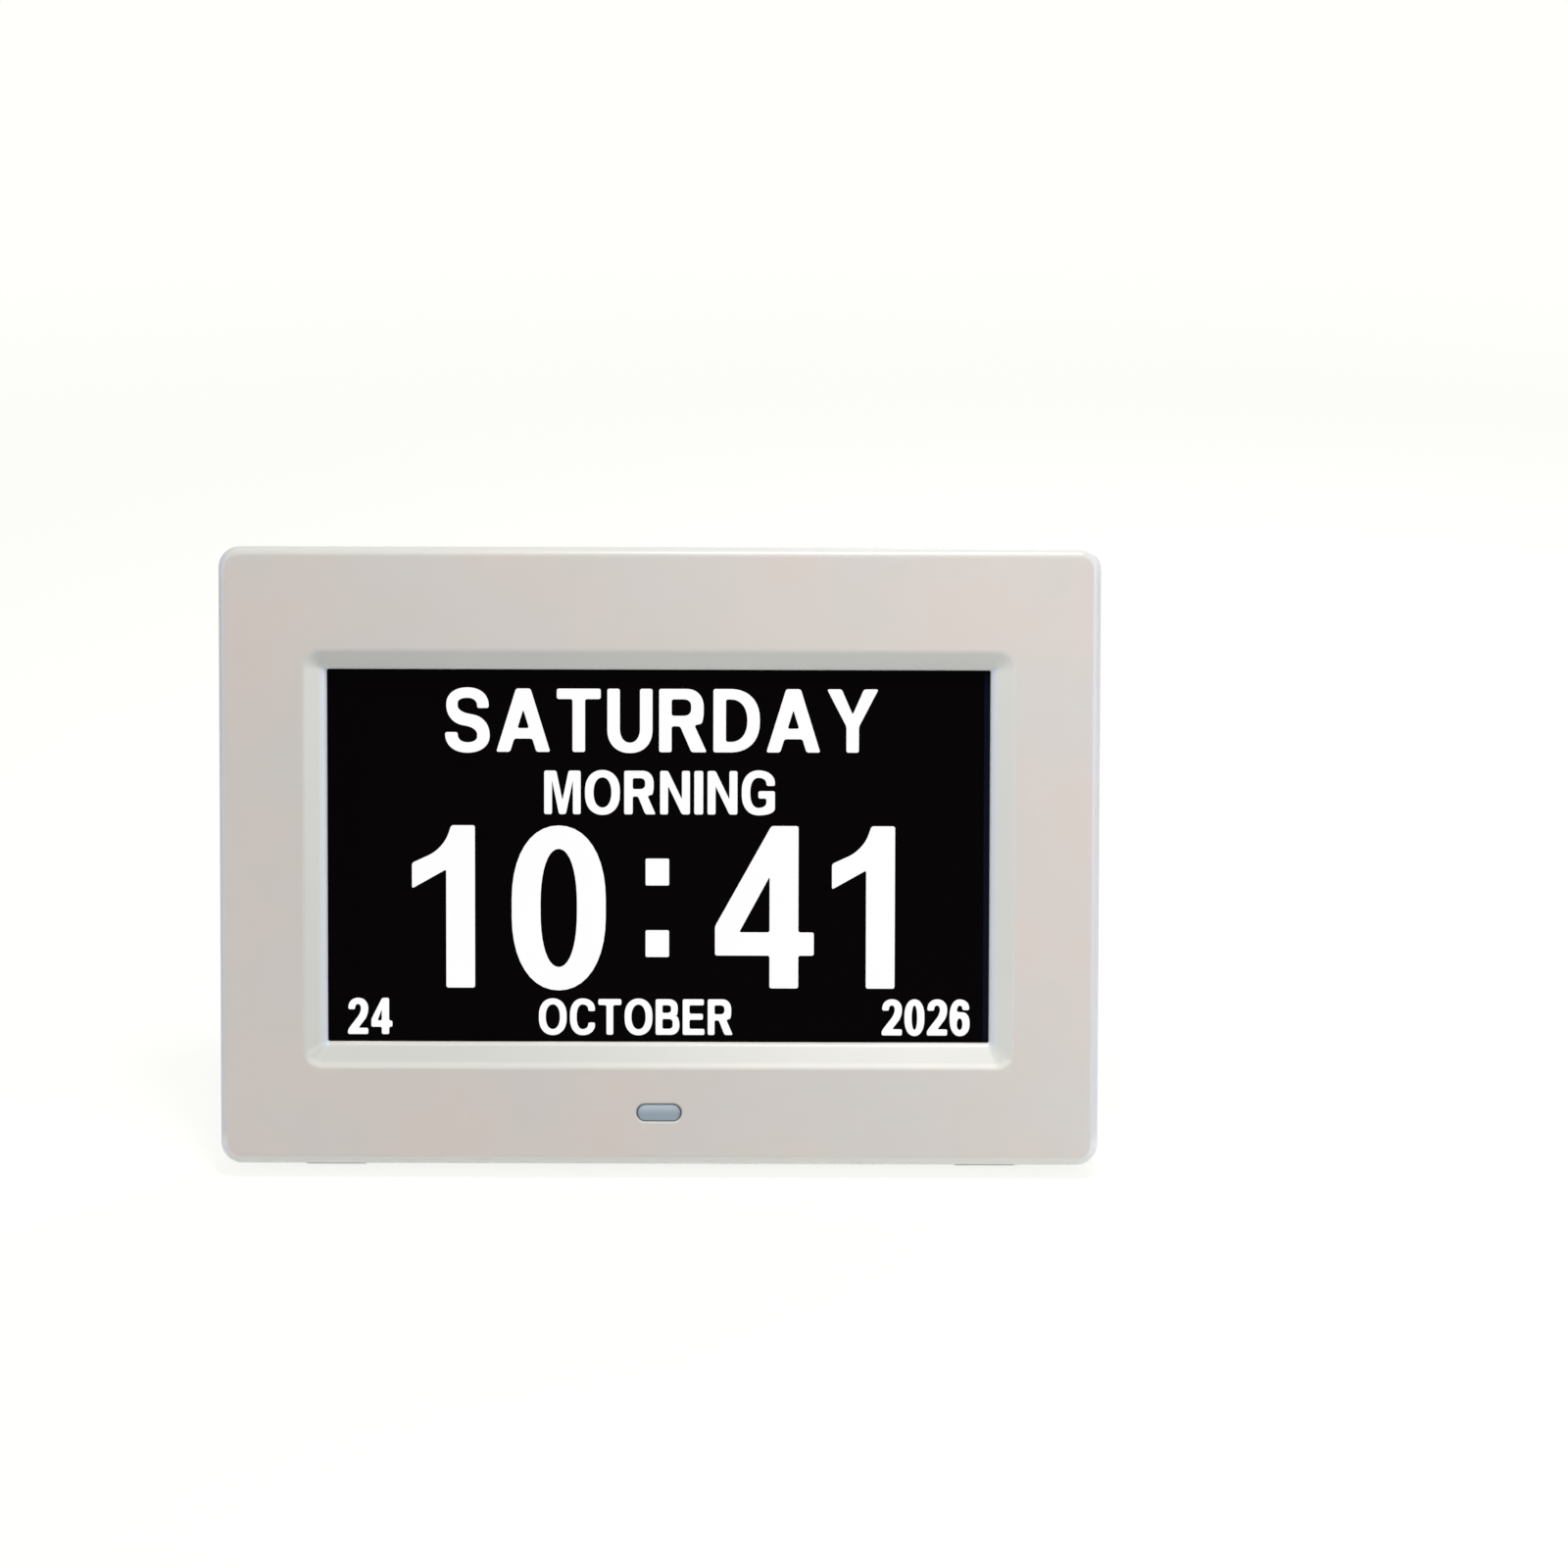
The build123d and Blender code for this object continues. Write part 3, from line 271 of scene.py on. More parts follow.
# Where these start and where they are whole, in millimetres from the middle of the face or behind it, and how
# far the bands reach from their middles
housingPlaces = {
    "ends": (-105.0, 105.0),
    "cornerAcross": (10.0, -100.0),
    "cornerUp": (30.0, -66.0),
    "edgeDepth": (0.004, 0.14),
    "lowRim": (-64.0, -67.4),
    "highRim": (62.5, 66.5),
    "rightRim": (98.8, 102.2),
    "sideRim": (98.6, 101.0),
    "sideRimDepth": (3.6, 1.6),
    "slopeInside": (77.6, 78.6),
    "slopeOutside": (84.0, 82.8),
    "slopeUp": (49.0, 43.0),
    "lowLipBand": (-44.4, 1.3),
    "lowLipReach": 79.5,
    "lowLipDepth": (2.6, 3.0),
    "sideLip": (76.6, 77.8),
    "sideLipReach": 84.0,
    "sideLipUp": (47.0, 43.0),
    "sideLipDepth": (1.8, 3.0),
    "shoulderBand": (-49.2, 2.2),
    "shoulderReach": 83.0,
    "shoulderFront": (0.01, 0.12),
    "shoulderBack": (0.95, 0.55),
    "seamDepth": (8.2, 9.0),
}


def paintHousing():
    paint = newPaint("housingPlastic")
    across, up, depth = paint.faceAxes()
    look, places = housingLook, housingPlaces
    edge = depth.fade(*places["edgeDepth"])
    blotch = paint.noise(look["blotchScale"])
    mottle = paint.noise(look["mottleScale"], 4.0, 0.6)
    fine = paint.noise(look["grainScale"])
    face = paint.between(blotch.fade(*look["blotchFade"]), look["warm"], look["cool"])
    # painted highlight on the lip and the shoulder below the screen, painted bluish reflection on the lip at
    # its sides, and painted light on the rims and the right-hand slope; dust gathers in the seam at the back
    sides = abs(across)
    # where the painted highlight lies: the lip below the screen and the shoulder under it
    lowLip = ((sides < places["lowLipReach"]) * up.near(*places["lowLipBand"])
              * depth.fade(*places["lowLipDepth"]))
    # where the painted bluish reflection lies: the lip at the sides of the screen
    sideLip = (sides.fade(*places["sideLip"]) * (sides < places["sideLipReach"])
               * abs(up).fade(*places["sideLipUp"]) * depth.fade(*places["sideLipDepth"]))
    shoulder = ((sides < places["shoulderReach"]) * up.near(*places["shoulderBand"])
                * depth.fade(*places["shoulderFront"]) * depth.fade(*places["shoulderBack"]))
    # where painted light lies on the right-hand slope round the screen
    slope = (across.fade(*places["slopeInside"]) * across.fade(*places["slopeOutside"])
             * abs(up).fade(*places["slopeUp"]))
    # painted bluish reflection on the left and right rims near the front
    sideRim = sides.fade(*places["sideRim"]) * depth.fade(*places["sideRimDepth"])
    # painted reflection: the cooler colour behind the face, bluer on the left and right rims
    edgeTinted = paint.between(edge, face, paint.between(sideRim, look["edge"], look["sideRim"]))
    # painted highlight on the lip and the shoulder below the screen
    highlit = paint.between(lowLip + shoulder * look["shoulder"], edgeTinted, look["lipHighlight"])
    base = paint.between(sideLip, highlit, look["sideLip"])
    # painted light: the lower, upper and right-hand rims and the right-hand slope lighter
    rim = (up.fade(*places["lowRim"]) * look["lowRim"] + up.fade(*places["highRim"]) * look["highRim"]
           + across.fade(*places["rightRim"]) * look["rightRim"] + slope * look["slope"])
    # painted light: the lower left corner lighter
    corner = across.fade(*places["cornerAcross"]) * up.fade(*places["cornerUp"])
    dust = depth.fade(*places["seamDepth"])
    # painted light: lighter to the right, in the lower left corner, on the rims and the right-hand slope;
    # painted shade on the lip's right; dust in the seam
    shade = (1.0 + across.fade(*places["ends"]) * (2 * look["drift"]) - look["drift"]
             + corner * look["paleCorner"] + mottle.swing(look["mottle"]) + edge * rim
             - sideLip * (across > 0.0) * look["rightLip"] - dust * look["dust"])
    roughness = (look["faceRoughness"] - edge * (look["faceRoughness"] - look["edgeRoughness"])
                 + mottle.swing(look["mottleRoughness"]) + dust * look["dustRoughness"])
    grain = fine * (1.0 - edge * look["smoothEdge"])
    return paint.finish({"Base Color": paint.shaded(base, shade), "Roughness": roughness, "IOR": 1.46,
                         "Normal": paint.bump(grain, look["grain"])})


# Plain moulded plastics: colour, spread of the colour, roughness, grain size and grain height
plasticLooks = {
    "cover": (linear(214, 209, 203), 0.03, 0.52, 2600.0, 0.000035),
    "leg_plastic": (linear(212, 207, 201), 0.03, 0.50, 2600.0, 0.000035),
    "key_grey": (linear(188, 187, 186), 0.03, 0.40, 1800.0, 0.000008),
    "rubber_pad": (linear(168, 168, 168), 0.08, 0.82, 1500.0, 0.00004),
    "foam": (linear(42, 42, 44), 0.25, 0.95, 2200.0, 0.00008),
    "tray_white": (linear(240, 240, 240), 0.02, 0.35, 600.0, 0.000005),
    "sheet_white": (linear(244, 244, 242), 0.02, 0.60, 2500.0, 0.000005),
    "header_white": (linear(226, 222, 206), 0.03, 0.45, 900.0, 0.00001),
    "socket_black": (linear(30, 30, 32), 0.15, 0.45, 900.0, 0.00001),
    "chip_black": (linear(34, 34, 37), 0.20, 0.60, 2200.0, 0.00001),
    "cone_black": (linear(44, 43, 44), 0.15, 0.65, 1500.0, 0.00001),
    "sign_ink": (linear(92, 93, 96), 0.06, 0.55, 2600.0, 0.000004),
}
plasticCloud = {"scale": 60.0, "roughness": 0.05}


def paintPlastic(slot):
    base, spread, rough, grain, height = plasticLooks[slot]
    paint = newPaint(slot)
    broad = paint.noise(plasticCloud["scale"], 3.0, 0.55)
    return paint.finish({"Base Color": paint.shaded(base, 1.0 + broad.swing(spread)),
                         "Roughness": rough + broad.swing(plasticCloud["roughness"]),
                         "Normal": paint.bump(paint.noise(grain), height)})


# Metals: colour, roughness, and how far the brushing is drawn out
metalLooks = {
    "steel_sheet": (linear(196, 197, 200), 0.34, (1, 12, 12)),
    "tin_can": (linear(206, 205, 200), 0.30, (1, 8, 8)),
    "cell_steel": (linear(214, 214, 214), 0.18, (1, 1, 1)),
    "pin_brass": (linear(219, 190, 120), 0.25, (1, 1, 1)),
    "pin_steel": (linear(190, 190, 194), 0.22, (1, 20, 20)),
    "magnet_dark": (linear(120, 121, 124), 0.38, (1, 1, 1)),
    "screw_zinc": (linear(178, 180, 186), 0.34, (1, 1, 1)),
    "contact_gold": (linear(228, 196, 120), 0.22, (1, 1, 1)),
}
# What the metals share: their streaks, and the clouds that swing their roughness
metalWear = {"streakScale": 500.0, "shades": (0.92, 1.08), "grain": 0.000003, "cloudScale": 120.0,
             "roughness": 0.06}


def paintMetal(slot):
    base, rough, stretch = metalLooks[slot]
    paint = newPaint(slot)
    look = metalWear
    streak = paint.noise(look["streakScale"], 3.0, 0.6, stretch)
    cloud = paint.noise(look["cloudScale"])
    return paint.finish({"Base Color": paint.shaded(base, streak.span(*look["shades"])), "Metallic": 1.0,
                         "Roughness": cloud.span(rough - look["roughness"], rough + look["roughness"]),
                         "Normal": paint.bump(streak, look["grain"])})


# Screen: black glass, with a blue-black strip of bare panel at its right-hand end
screenLook = {
    "black": linear(3, 1, 2),
    "strip": linear(13, 18, 35),
    "stripFrom": 75.7,
    "stripSoft": 0.15,
    "stripTop": 42.7,
    "hazeScale": 90.0,
    "roughness": (0.30, 0.36),
    "shine": 0.04,
    "pitch": 0.1926,            # width of a pixel
}


def paintScreen():
    paint = newPaint("screenGlass")
    across, up = paint.faceAxes()[:2]
    look = screenLook
    start, soft = look["stripFrom"], look["stripSoft"]
    strip = across.fade(start - soft, start + soft) * (up < look["stripTop"])
    haze = paint.noise(look["hazeScale"])
    return paint.finish({"Base Color": paint.between(strip, look["black"], look["strip"]), "IOR": 1.5,
                         "Roughness": haze.span(*look["roughness"]), "Specular IOR Level": look["shine"]})


# Lit pixels: white, laid on the glass, with lines between them whose width is a share of a pixel
inkLook = {
    "lift": 0.03,
    "thickness": 0.02,
    "gridLine": 0.12,
    "gridDepth": 0.02,
    "glowScale": 40.0,
    "glow": 0.01,
}


def paintLit():
    paint = newPaint("litPixels")
    look = inkLook
    pitch = screenLook["pitch"]
    columns, rows = (place.fold(pitch) < pitch * look["gridLine"] for place in paint.faceAxes()[:2])
    glow = paint.noise(look["glowScale"], 1.0)
    level = 1.0 - (columns + rows) * look["gridDepth"] - glow.swing(look["glow"])
    return paint.finish({"Base Color": (0.0, 0.0, 0.0), "Roughness": 0.4, "Specular IOR Level": 0.0,
                         "Emission Color": paint.grey(level), "Emission Strength": 1.0})


# Infrared window: blue-grey tinted plastic, with painted light making it paler at its top, and a dark line
# along its edge that is a painted shadow of its recess
infraredLook = {
    "low": linear(147, 161, 172),
    "high": linear(190, 202, 213),
    # line: a painted shadow of the recess round the window
    "line": linear(97, 104, 116),
    # fadeUp: painted light, from the low colour to the high one
    "fadeUp": (-0.6, 2.0),      # from the low colour to the high one, from the window's middle
    "lineUp": (-2.4, -0.4),
    "reach": 3.0,               # half the distance between the centres of its round ends
    "radius": 2.18,
    "lineWidth": 0.62,
    "lineSoft": 0.08,
    "cloudScale": 300.0,
    "cloud": 0.04,
    "roughness": (0.26, 0.31),
}


def paintInfrared():
    paint = newPaint("infraredLens")
    across, up = paint.faceAxes()[:2]
    look = infraredLook
    low, high = spanOf("ir_window")
    centre = (low + high) / 2
    rise = up - float(centre[1])
    beyond = (abs(across - float(centre[0])) - look["reach"]).atLeast(0.0)
    spread = beyond * beyond + rise * rise
    # painted shadow of the recess: a dark line round the edge, fading out towards the bottom
    ring = spread.fade((look["radius"] - look["lineWidth"]) ** 2, (look["radius"] - look["lineSoft"]) ** 2)
    line = ring * rise.fade(*look["lineUp"])
    cloud = paint.noise(look["cloudScale"])
    # painted light: paler towards the top
    body = paint.between(rise.fade(*look["fadeUp"]) + cloud.swing(look["cloud"]), look["low"], look["high"])
    return paint.finish({"Base Color": paint.between(line, body, look["line"]),
                         "Roughness": cloud.span(*look["roughness"]), "Coat Weight": 0.25,
                         "Coat Roughness": 0.12})


# Light guide: clear acrylic, printed with white dots that let the light out
guideLook = {
    "clear": linear(214, 226, 232),
    "dot": linear(244, 246, 246),
    "dotScale": 700.0,
    "dotSize": 0.25,
    "cloudScale": 50.0,
    "roughness": (0.10, 0.18),
}


def paintGuide():
    paint = newPaint("clearAcrylic")
    look = guideLook
    cells = {"Vector": paint.place(), "Scale": look["dotScale"]}
    dots = paint.node("ShaderNodeTexVoronoi", None, cells, "Distance") < look["dotSize"]
    cloud = paint.noise(look["cloudScale"], 3.0)
    return paint.finish({"Base Color": paint.between(dots, look["clear"], look["dot"]),
                         "Roughness": cloud.span(*look["roughness"]), "Coat Weight": 0.5})


# Circuit board: solder mask over faint copper runs
boardLook = {
    "mask": linear(24, 92, 52),
    "run": linear(38, 122, 66),
    "pitch": 2.2,
    "runHalf": 0.28,
    "weaveScale": 120.0,
    "wander": 6.0,              # how far a run strays from a straight line
    "regionScale": 35.0,        # scale of the regions whose runs all lie one way
    "roughness": (0.32, 0.42),
    "grainScale": 1500.0,
    "grain": 0.2,
    "height": 0.00002,
}


def paintBoard():
    paint = newPaint("boardMask")
    look = boardLook
    weave = paint.noise(look["weaveScale"])
    fine = paint.noise(look["grainScale"], 1.0)
    pitch = look["pitch"]
    bands, rows = ((place + weave * look["wander"]).fold(pitch).near(pitch / 2, look["runHalf"])
                   for place in paint.faceAxes()[:2])
    region = paint.noise(look["regionScale"], 0.0) > 0.5
    runs = bands * region + rows * (1.0 - region)
    return paint.finish({"Base Color": paint.between(runs, look["mask"], look["run"]),
                         "Roughness": weave.span(*look["roughness"]),
                         "Normal": paint.bump(runs + fine * look["grain"], look["height"])})


# Flexible leads: amber film with copper lines running along it
flexLook = {
    "film": linear(196, 130, 52),
    "line": linear(168, 96, 44),
    "pitch": 0.8,
    "lineHalf": 0.2,
    "lineHeight": 0.00001,
    "cloudScale": 150.0,
    "roughness": (0.25, 0.35),
}


def paintFlex():
    paint = newPaint("flexFilm")
    look = flexLook
    across = paint.faceAxes()[0]
    line = across.fold(look["pitch"]).near(look["pitch"] / 2, look["lineHalf"])
    cloud = paint.noise(look["cloudScale"], 3.0)
    return paint.finish({"Base Color": paint.between(line, look["film"], look["line"]),
                         "Roughness": cloud.span(*look["roughness"]),
                         "Normal": paint.bump(line, look["lineHeight"])})


# Capacitors: a blue sleeve with a pale stripe, and a scored aluminium top
sleeveLook = {
    "sleeve": linear(28, 32, 74),
    "stripe": linear(190, 192, 200),
    "top": linear(200, 201, 204),
    "topRadius": 2.6,
    "topDepth": 0.02,
    "scoreHalf": 0.12,
    "scoreShade": 0.5,
    "scoreDepth": 0.00005,
    "cloudScale": 400.0,
    "cloud": 0.05,
    "roughness": (0.28, 0.38),
}


def paintSleeve():
    paint = newPaint("capacitorSleeve")
    look = sleeveLook
    across, up, depth = paint.faceAxes()
    first, second = spanOf("capacitor_1"), spanOf("capacitor_2")
    middles = [(span[0] + span[1]) / 2 for span in (first, second)]
    pitch = float(abs(middles[0][1] - middles[1][1]))
    x = across - float(middles[0][0])
    y = (up - float(middles[0][1]) + pitch / 2).fold(pitch) - pitch / 2
    crown = depth > float(first[1][2]) - look["topDepth"]
    disc = (x * x + y * y < look["topRadius"] ** 2) * crown
    score = (x.near(0.0, look["scoreHalf"]) + y.near(0.0, look["scoreHalf"])) * disc
    stripe = (y > look["topRadius"]) * (1.0 - crown)
    cloud = paint.noise(look["cloudScale"])
    capped = paint.between(disc, paint.between(stripe, look["sleeve"], look["stripe"]), look["top"])
    shade = 1.0 - score * look["scoreShade"] + cloud.swing(look["cloud"])
    return paint.finish({"Base Color": paint.shaded(capped, shade), "Metallic": disc,
                         "Roughness": cloud.span(*look["roughness"]),
                         "Normal": paint.bump(1.0 - score, look["scoreDepth"])})


# Light strip: a white strip with a yellow tile on each of its lamps
stripLook = {
    "tape": linear(236, 236, 232),
    "tile": linear(238, 222, 120),
    "tileInset": (-0.12, -0.02),
    "cloudScale": 500.0,
    "roughness": (0.30, 0.45),
}


def paintStrip():
    paint = newPaint("lightStrip")
    across = paint.faceAxes()[0]
    end = float(spanOf("led_strip")[1][0])
    look = stripLook
    lamp = (across - end).fade(*look["tileInset"])
    cloud = paint.noise(look["cloudScale"])
    return paint.finish({"Base Color": paint.between(lamp, look["tape"], look["tile"]),
                         "Roughness": cloud.span(*look["roughness"])})


painters = {
    "housing": paintHousing,
    "screen_glass": paintScreen,
    "lit_pixels": paintLit,
    "ir_lens": paintInfrared,
    "guide_clear": paintGuide,
    "board_green": paintBoard,
    "flex_amber": paintFlex,
    "cap_sleeve": paintSleeve,
}
finishes = {}


def finishFor(slot):
    if slot not in finishes:
        if slot in painters:
            finishes[slot] = painters[slot]()
        elif slot in plasticLooks:
            finishes[slot] = paintPlastic(slot)
        else:
            finishes[slot] = paintMetal(slot)
    return finishes[slot]


def wear(piece, material):
    piece.data.materials.clear()
    piece.data.materials.append(material)


for part in frame["record"]["subparts"]:
    wear(nodes[part["node"]], finishFor(part["material_slot"]))
wear(nodes["led_strip"], paintStrip())
print("nodes painted:", len(nodes))


# A corner is (x, y) or (x, y, a, b): a is cut from the edge that comes in, b from the edge that goes out
cornerPull = 0.60
cornerPoints = 11


def roundedLoop(corners, soft):
    # each cut corner is a cubic curve whose handles point at the corner itself; two cuts that would overlap
    # on an edge share its length
    spots = np.array([c[:2] for c in corners], float)
    cuts = np.array([c[2:] if len(c) > 2 else (soft, soft) for c in corners], float)
    edges = np.roll(spots, -1, axis=0) - spots
    lengths = np.linalg.norm(edges, axis=1)
    share = np.minimum(1.0, lengths / (cuts[:, 1] + np.roll(cuts[:, 0], -1)))
    along = edges / lengths[:, None]
    starts = spots - np.roll(along, 1, axis=0) * (cuts[:, 0] * np.roll(share, 1))[:, None]
    ends = spots + along * (cuts[:, 1] * share)[:, None]
    pull = [(place + (spots - place) * cornerPull)[:, None] for place in (starts, ends)]
    steps = np.linspace(0, 1, cornerPoints)[:, None]
    rest = 1 - steps
    arcs = (rest ** 3 * starts[:, None] + 3 * rest ** 2 * steps * pull[0]
            + 3 * rest * steps ** 2 * pull[1] + steps ** 3 * ends[:, None])
    return np.concatenate([arc if len(corner) > 2 else arc[::2] for arc, corner in zip(arcs, corners)])


def ovalLoop(x0, y0, x1, y1, rise):
    # a closed round form; rise is how much of each side is curved
    half = (x1 - x0) / 2
    return [(x0, y0, rise, half), (x1, y0, half, rise), (x1, y1, rise, half), (x0, y1, half, rise)]


def barLoop(x0, y0, x1, y1, soft):
    return roundedLoop([(x0, y0), (x1, y0), (x1, y1), (x0, y1)], soft)


# Widths of the letters, in heights of a capital
letterWidths = {
    "A": 0.86, "B": 0.72, "C": 0.76, "D": 0.74, "E": 0.66, "G": 0.80, "I": 0.215, "M": 0.88, "N": 0.72,
    "O": 0.84, "R": 0.76, "S": 0.71, "T": 0.70, "U": 0.72, "Y": 0.82,
    "0": 0.575, "1": 0.385, "2": 0.585, "4": 0.605, "6": 0.575,
}
over = 0.016                    # how far round letters pass the line


def letterLoops(sign, s, t):
    # closed outlines of a letter one unit high; s is the width of an upright stroke and t of a level one
    w = letterWidths[sign]
    half = w / 2
    if sign == "I":
        return [[(0, 0), (w, 0), (w, 1), (0, 1)]]
    if sign in "O0":
        return [ovalLoop(0, -over, w, 1 + over, 0.46), ovalLoop(s, t - over, w - s, 1 - t + over, 0.34)]
    if sign == "D":
        reach = w * 0.62
        outer = [(0, 0), (w, 0, reach, 0.46), (w, 1, 0.46, reach), (0, 1)]
        inner = [(s, t), (w - s, t, reach - s, 0.32), (w - s, 1 - t, 0.32, reach - s), (s, 1 - t)]
        return [outer, inner]
    if sign == "U":
        return [[(0, 1), (0, -over, 0.36, half), (w, -over, half, 0.36), (w, 1), (w - s, 1),
                 (w - s, t - over, 0.22, half - s), (s, t - over, half - s, 0.22), (s, 1)]]
    if sign in "CG":
        upper = [(w, 0.66), (w, 1 + over, 0.30, half), (0, 1 + over, half, 0.46), (0, -over, 0.46, half)]
        inner = [(s, t - over, half - s, 0.32), (s, 1 - t + over, 0.32, half - s),
                 (w - s, 1 - t + over, half - s, 0.15), (w - s, 0.66)]
        if sign == "C":
            return [upper + [(w, -over, half, 0.30), (w, 0.34), (w - s, 0.34),
                             (w - s, t - over, 0.15, half - s)] + inner]
        return [upper + [(w, -over, half, 0.16), (w, 0.54), (w * 0.50, 0.54), (w * 0.50, 0.54 - t),
                         (w - s, 0.54 - t), (w - s, t - over, 0.13, half - s)] + inner]
    if sign == "S":
        k = half - s * 0.9
        return [[(w - 0.015, 0.69), (w - 0.015, 1 + over, 0.28, half), (0.02, 1 + over, half, 0.26),
                 (0.02, 0.47, 0.26, half * 0.72), (w - s, 0.375, k, 0.10), (w - s, t - over, 0.09, k),
                 (s, t - over, k, 0.13), (s, 0.31), (0, 0.31), (0, -over, 0.30, half),
                 (w, -over, half, 0.27), (w, 0.535, 0.27, half * 0.72), (s, 0.635, k, 0.09),
                 (s, 1 - t + over, 0.08, k), (w - s, 1 - t + over, k, 0.12), (w - s, 0.69)]]
    a, b = half - s / 2, half + s / 2
    if sign == "T":
        return [[(a, 0), (b, 0), (b, 1 - t), (w, 1 - t), (w, 1), (0, 1), (0, 1 - t), (a, 1 - t)]]
    if sign == "E":
        m = 0.50 + t * 0.55
        return [[(0, 0), (w, 0), (w, t), (s, t), (s, m - t), (w * 0.93, m - t), (w * 0.93, m), (s, m),
                 (s, 1 - t), (w * 0.97, 1 - t), (w * 0.97, 1), (0, 1)]]
    if sign == "N":
        p = s * 0.94
        return [[(0, 0), (p, 0), (p, 0.655), (w - p, 0), (w, 0), (w, 1), (w - p, 1), (w - p, 0.345), (p, 1),
                 (0, 1)]]
    if sign == "M":
        p, q = s * 0.92, s * 0.40
        return [[(0, 0), (p, 0), (p, 0.78), (half - q, 0), (half + q, 0), (w - p, 0.78), (w - p, 0), (w, 0),
                 (w, 1), (w - s * 1.42, 1), (half, 0.32), (s * 1.42, 1), (0, 1)]]
    if sign == "Y":
        return [[(a, 0), (b, 0), (b, 0.41), (w, 1), (w - s * 1.16, 1), (half, 0.60), (s * 1.16, 1), (0, 1),
                 (a, 0.41)]]
    if sign == "A":
        top, foot = s * 0.58, s * 1.10
        slope = half - top
        low, high = 0.21, 0.21 + t
        peak = (half - foot) / slope
        outer = [(0, 0), (foot, 0), (foot + low * slope, low), (w - foot - low * slope, low), (w - foot, 0),
                 (w, 0), (half + top, 1), (half - top, 1)]
        hole = [(foot + high * slope, high), (w - foot - high * slope, high), (half, peak)]
        return [outer, hole]
    if sign in "BR":
        turn, belly = 0.27, w - 0.05
        if sign == "B":
            outer = [(0, 0), (w, 0, turn, 0.26), (w, 0.505, 0.24, 0.15), (w - 0.13, 0.53),
                     (belly, 0.555, 0.05, 0.20), (belly, 1, 0.24, turn), (0, 1)]
            lower = [(s, t), (w - s, t, 0.13, 0.09), (w - s, 0.53 - t / 2, 0.09, 0.13), (s, 0.53 - t / 2)]
            upper = [(s, 0.53 + t / 2), (belly - s, 0.53 + t / 2, 0.12, 0.07), (belly - s, 1 - t, 0.07, 0.12),
                     (s, 1 - t)]
            return [outer, lower, upper]
        outer = [(0, 0), (s, 0), (s, 0.41), (w * 0.44, 0.41), (w - s * 1.22, 0), (w, 0), (w * 0.74, 0.425),
                 (belly, 0.46, 0.05, 0.20), (belly, 1, 0.28, turn), (0, 1)]
        hole = [(s, 0.41 + t), (belly - s, 0.41 + t, 0.12, 0.10), (belly - s, 1 - t, 0.10, 0.12), (s, 1 - t)]
        return [outer, hole]
    if sign == "1":
        return [[(w - s, 0), (w, 0), (w, 1 + over), (w - s * 0.82, 1 + over), (w - s * 1.1, 0.87, 0.10, 0.10),
                 (0, 0.78), (0, 0.62), (w - s, 0.74)]]
    if sign == "2":
        return [[(0.015, 0.695), (0.015, 1 + over, 0.27, half), (w, 1 + over, half, 0.30),
                 (w, 0.53, 0.20, 0.16), (s * 1.45, t), (w, t), (w, 0), (0, 0), (0, 0.13, 0.05, 0.12),
                 (w - s, 0.60, 0.17, 0.12), (w - s, 1 - t + over, 0.12, half - s),
                 (s, 1 - t + over, half - s, 0.12), (s, 0.695)]]
    if sign == "4":
        left, base = w - s - 0.095, 0.205
        outer = [(left, 0), (left + s, 0), (left + s, base), (w, base), (w, base + t), (left + s, base + t),
                 (left + s, 1 + over), (left + 0.01, 1 + over), (0, base + t * 1.25), (0, base), (left, base)]
        hole = [(s * 0.84, base + t), (left, base + t), (left, 0.70)]
        return [outer, hole]
    # the 6
    outer = [(w - 0.015, 0.715), (w - 0.015, 1 + over, 0.24, half), (0, 1 + over, half, 0.46),
             (0, -over, 0.46, half), (w, -over, half, 0.32), (w, 0.655, 0.30, half * 0.95),
             (s, 0.655, half * 0.75, 0.05), (s, 1 - t + over, 0.22, half - s),
             (w - s, 1 - t + over, half - s, 0.10), (w - s, 0.715)]
    return [outer, ovalLoop(s, t - over, w - s, 0.655 - t, 0.15)]


def sew(mesh):
    # joins the points that meet and turns the faces outwards
    sewn = bmesh.new()
    sewn.from_mesh(mesh)
    bmesh.ops.remove_doubles(sewn, verts=sewn.verts, dist=1e-7)
    bmesh.ops.recalc_face_normals(sewn, faces=sewn.faces)
    sewn.to_mesh(mesh)
    sewn.free()


recordSlots = {material["slot"] for material in frame["record"]["materials"]}


def add(name, data):
    made = bpy.data.objects.new(name, data)
    bpy.context.scene.collection.objects.link(made)
    return made


def link(name, mesh, body, slot):
    piece = add(name, mesh)
    wear(piece, finishFor(slot))
    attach(piece, body)
    slot in recordSlots


def flatPiece(name, loops, thickness, placing, body, slot):
    # filled outlines in metres, given a small thickness and laid on the placing matrix
    curve = bpy.data.curves.new(name, "CURVE")
    curve.dimensions = "2D"
    curve.fill_mode = "BOTH"
    curve.extrude = thickness / 2
    for loop in loops:
        spline = curve.splines.new("POLY")
        spline.points.add(len(loop) - 1)
        spline.points.foreach_set("co", np.column_stack([loop, np.tile((0.0, 1.0), (len(loop), 1))]).ravel())
        spline.use_cyclic_u = True
    source = add(name + "Outline", curve)
    bpy.context.view_layer.update()
    mesh = bpy.data.meshes.new_from_object(source.evaluated_get(bpy.context.evaluated_depsgraph_get()))
    bpy.data.objects.remove(source)
    mesh.name = name
    sew(mesh)
    mesh.transform(placing)
    link(name, mesh, body, slot)


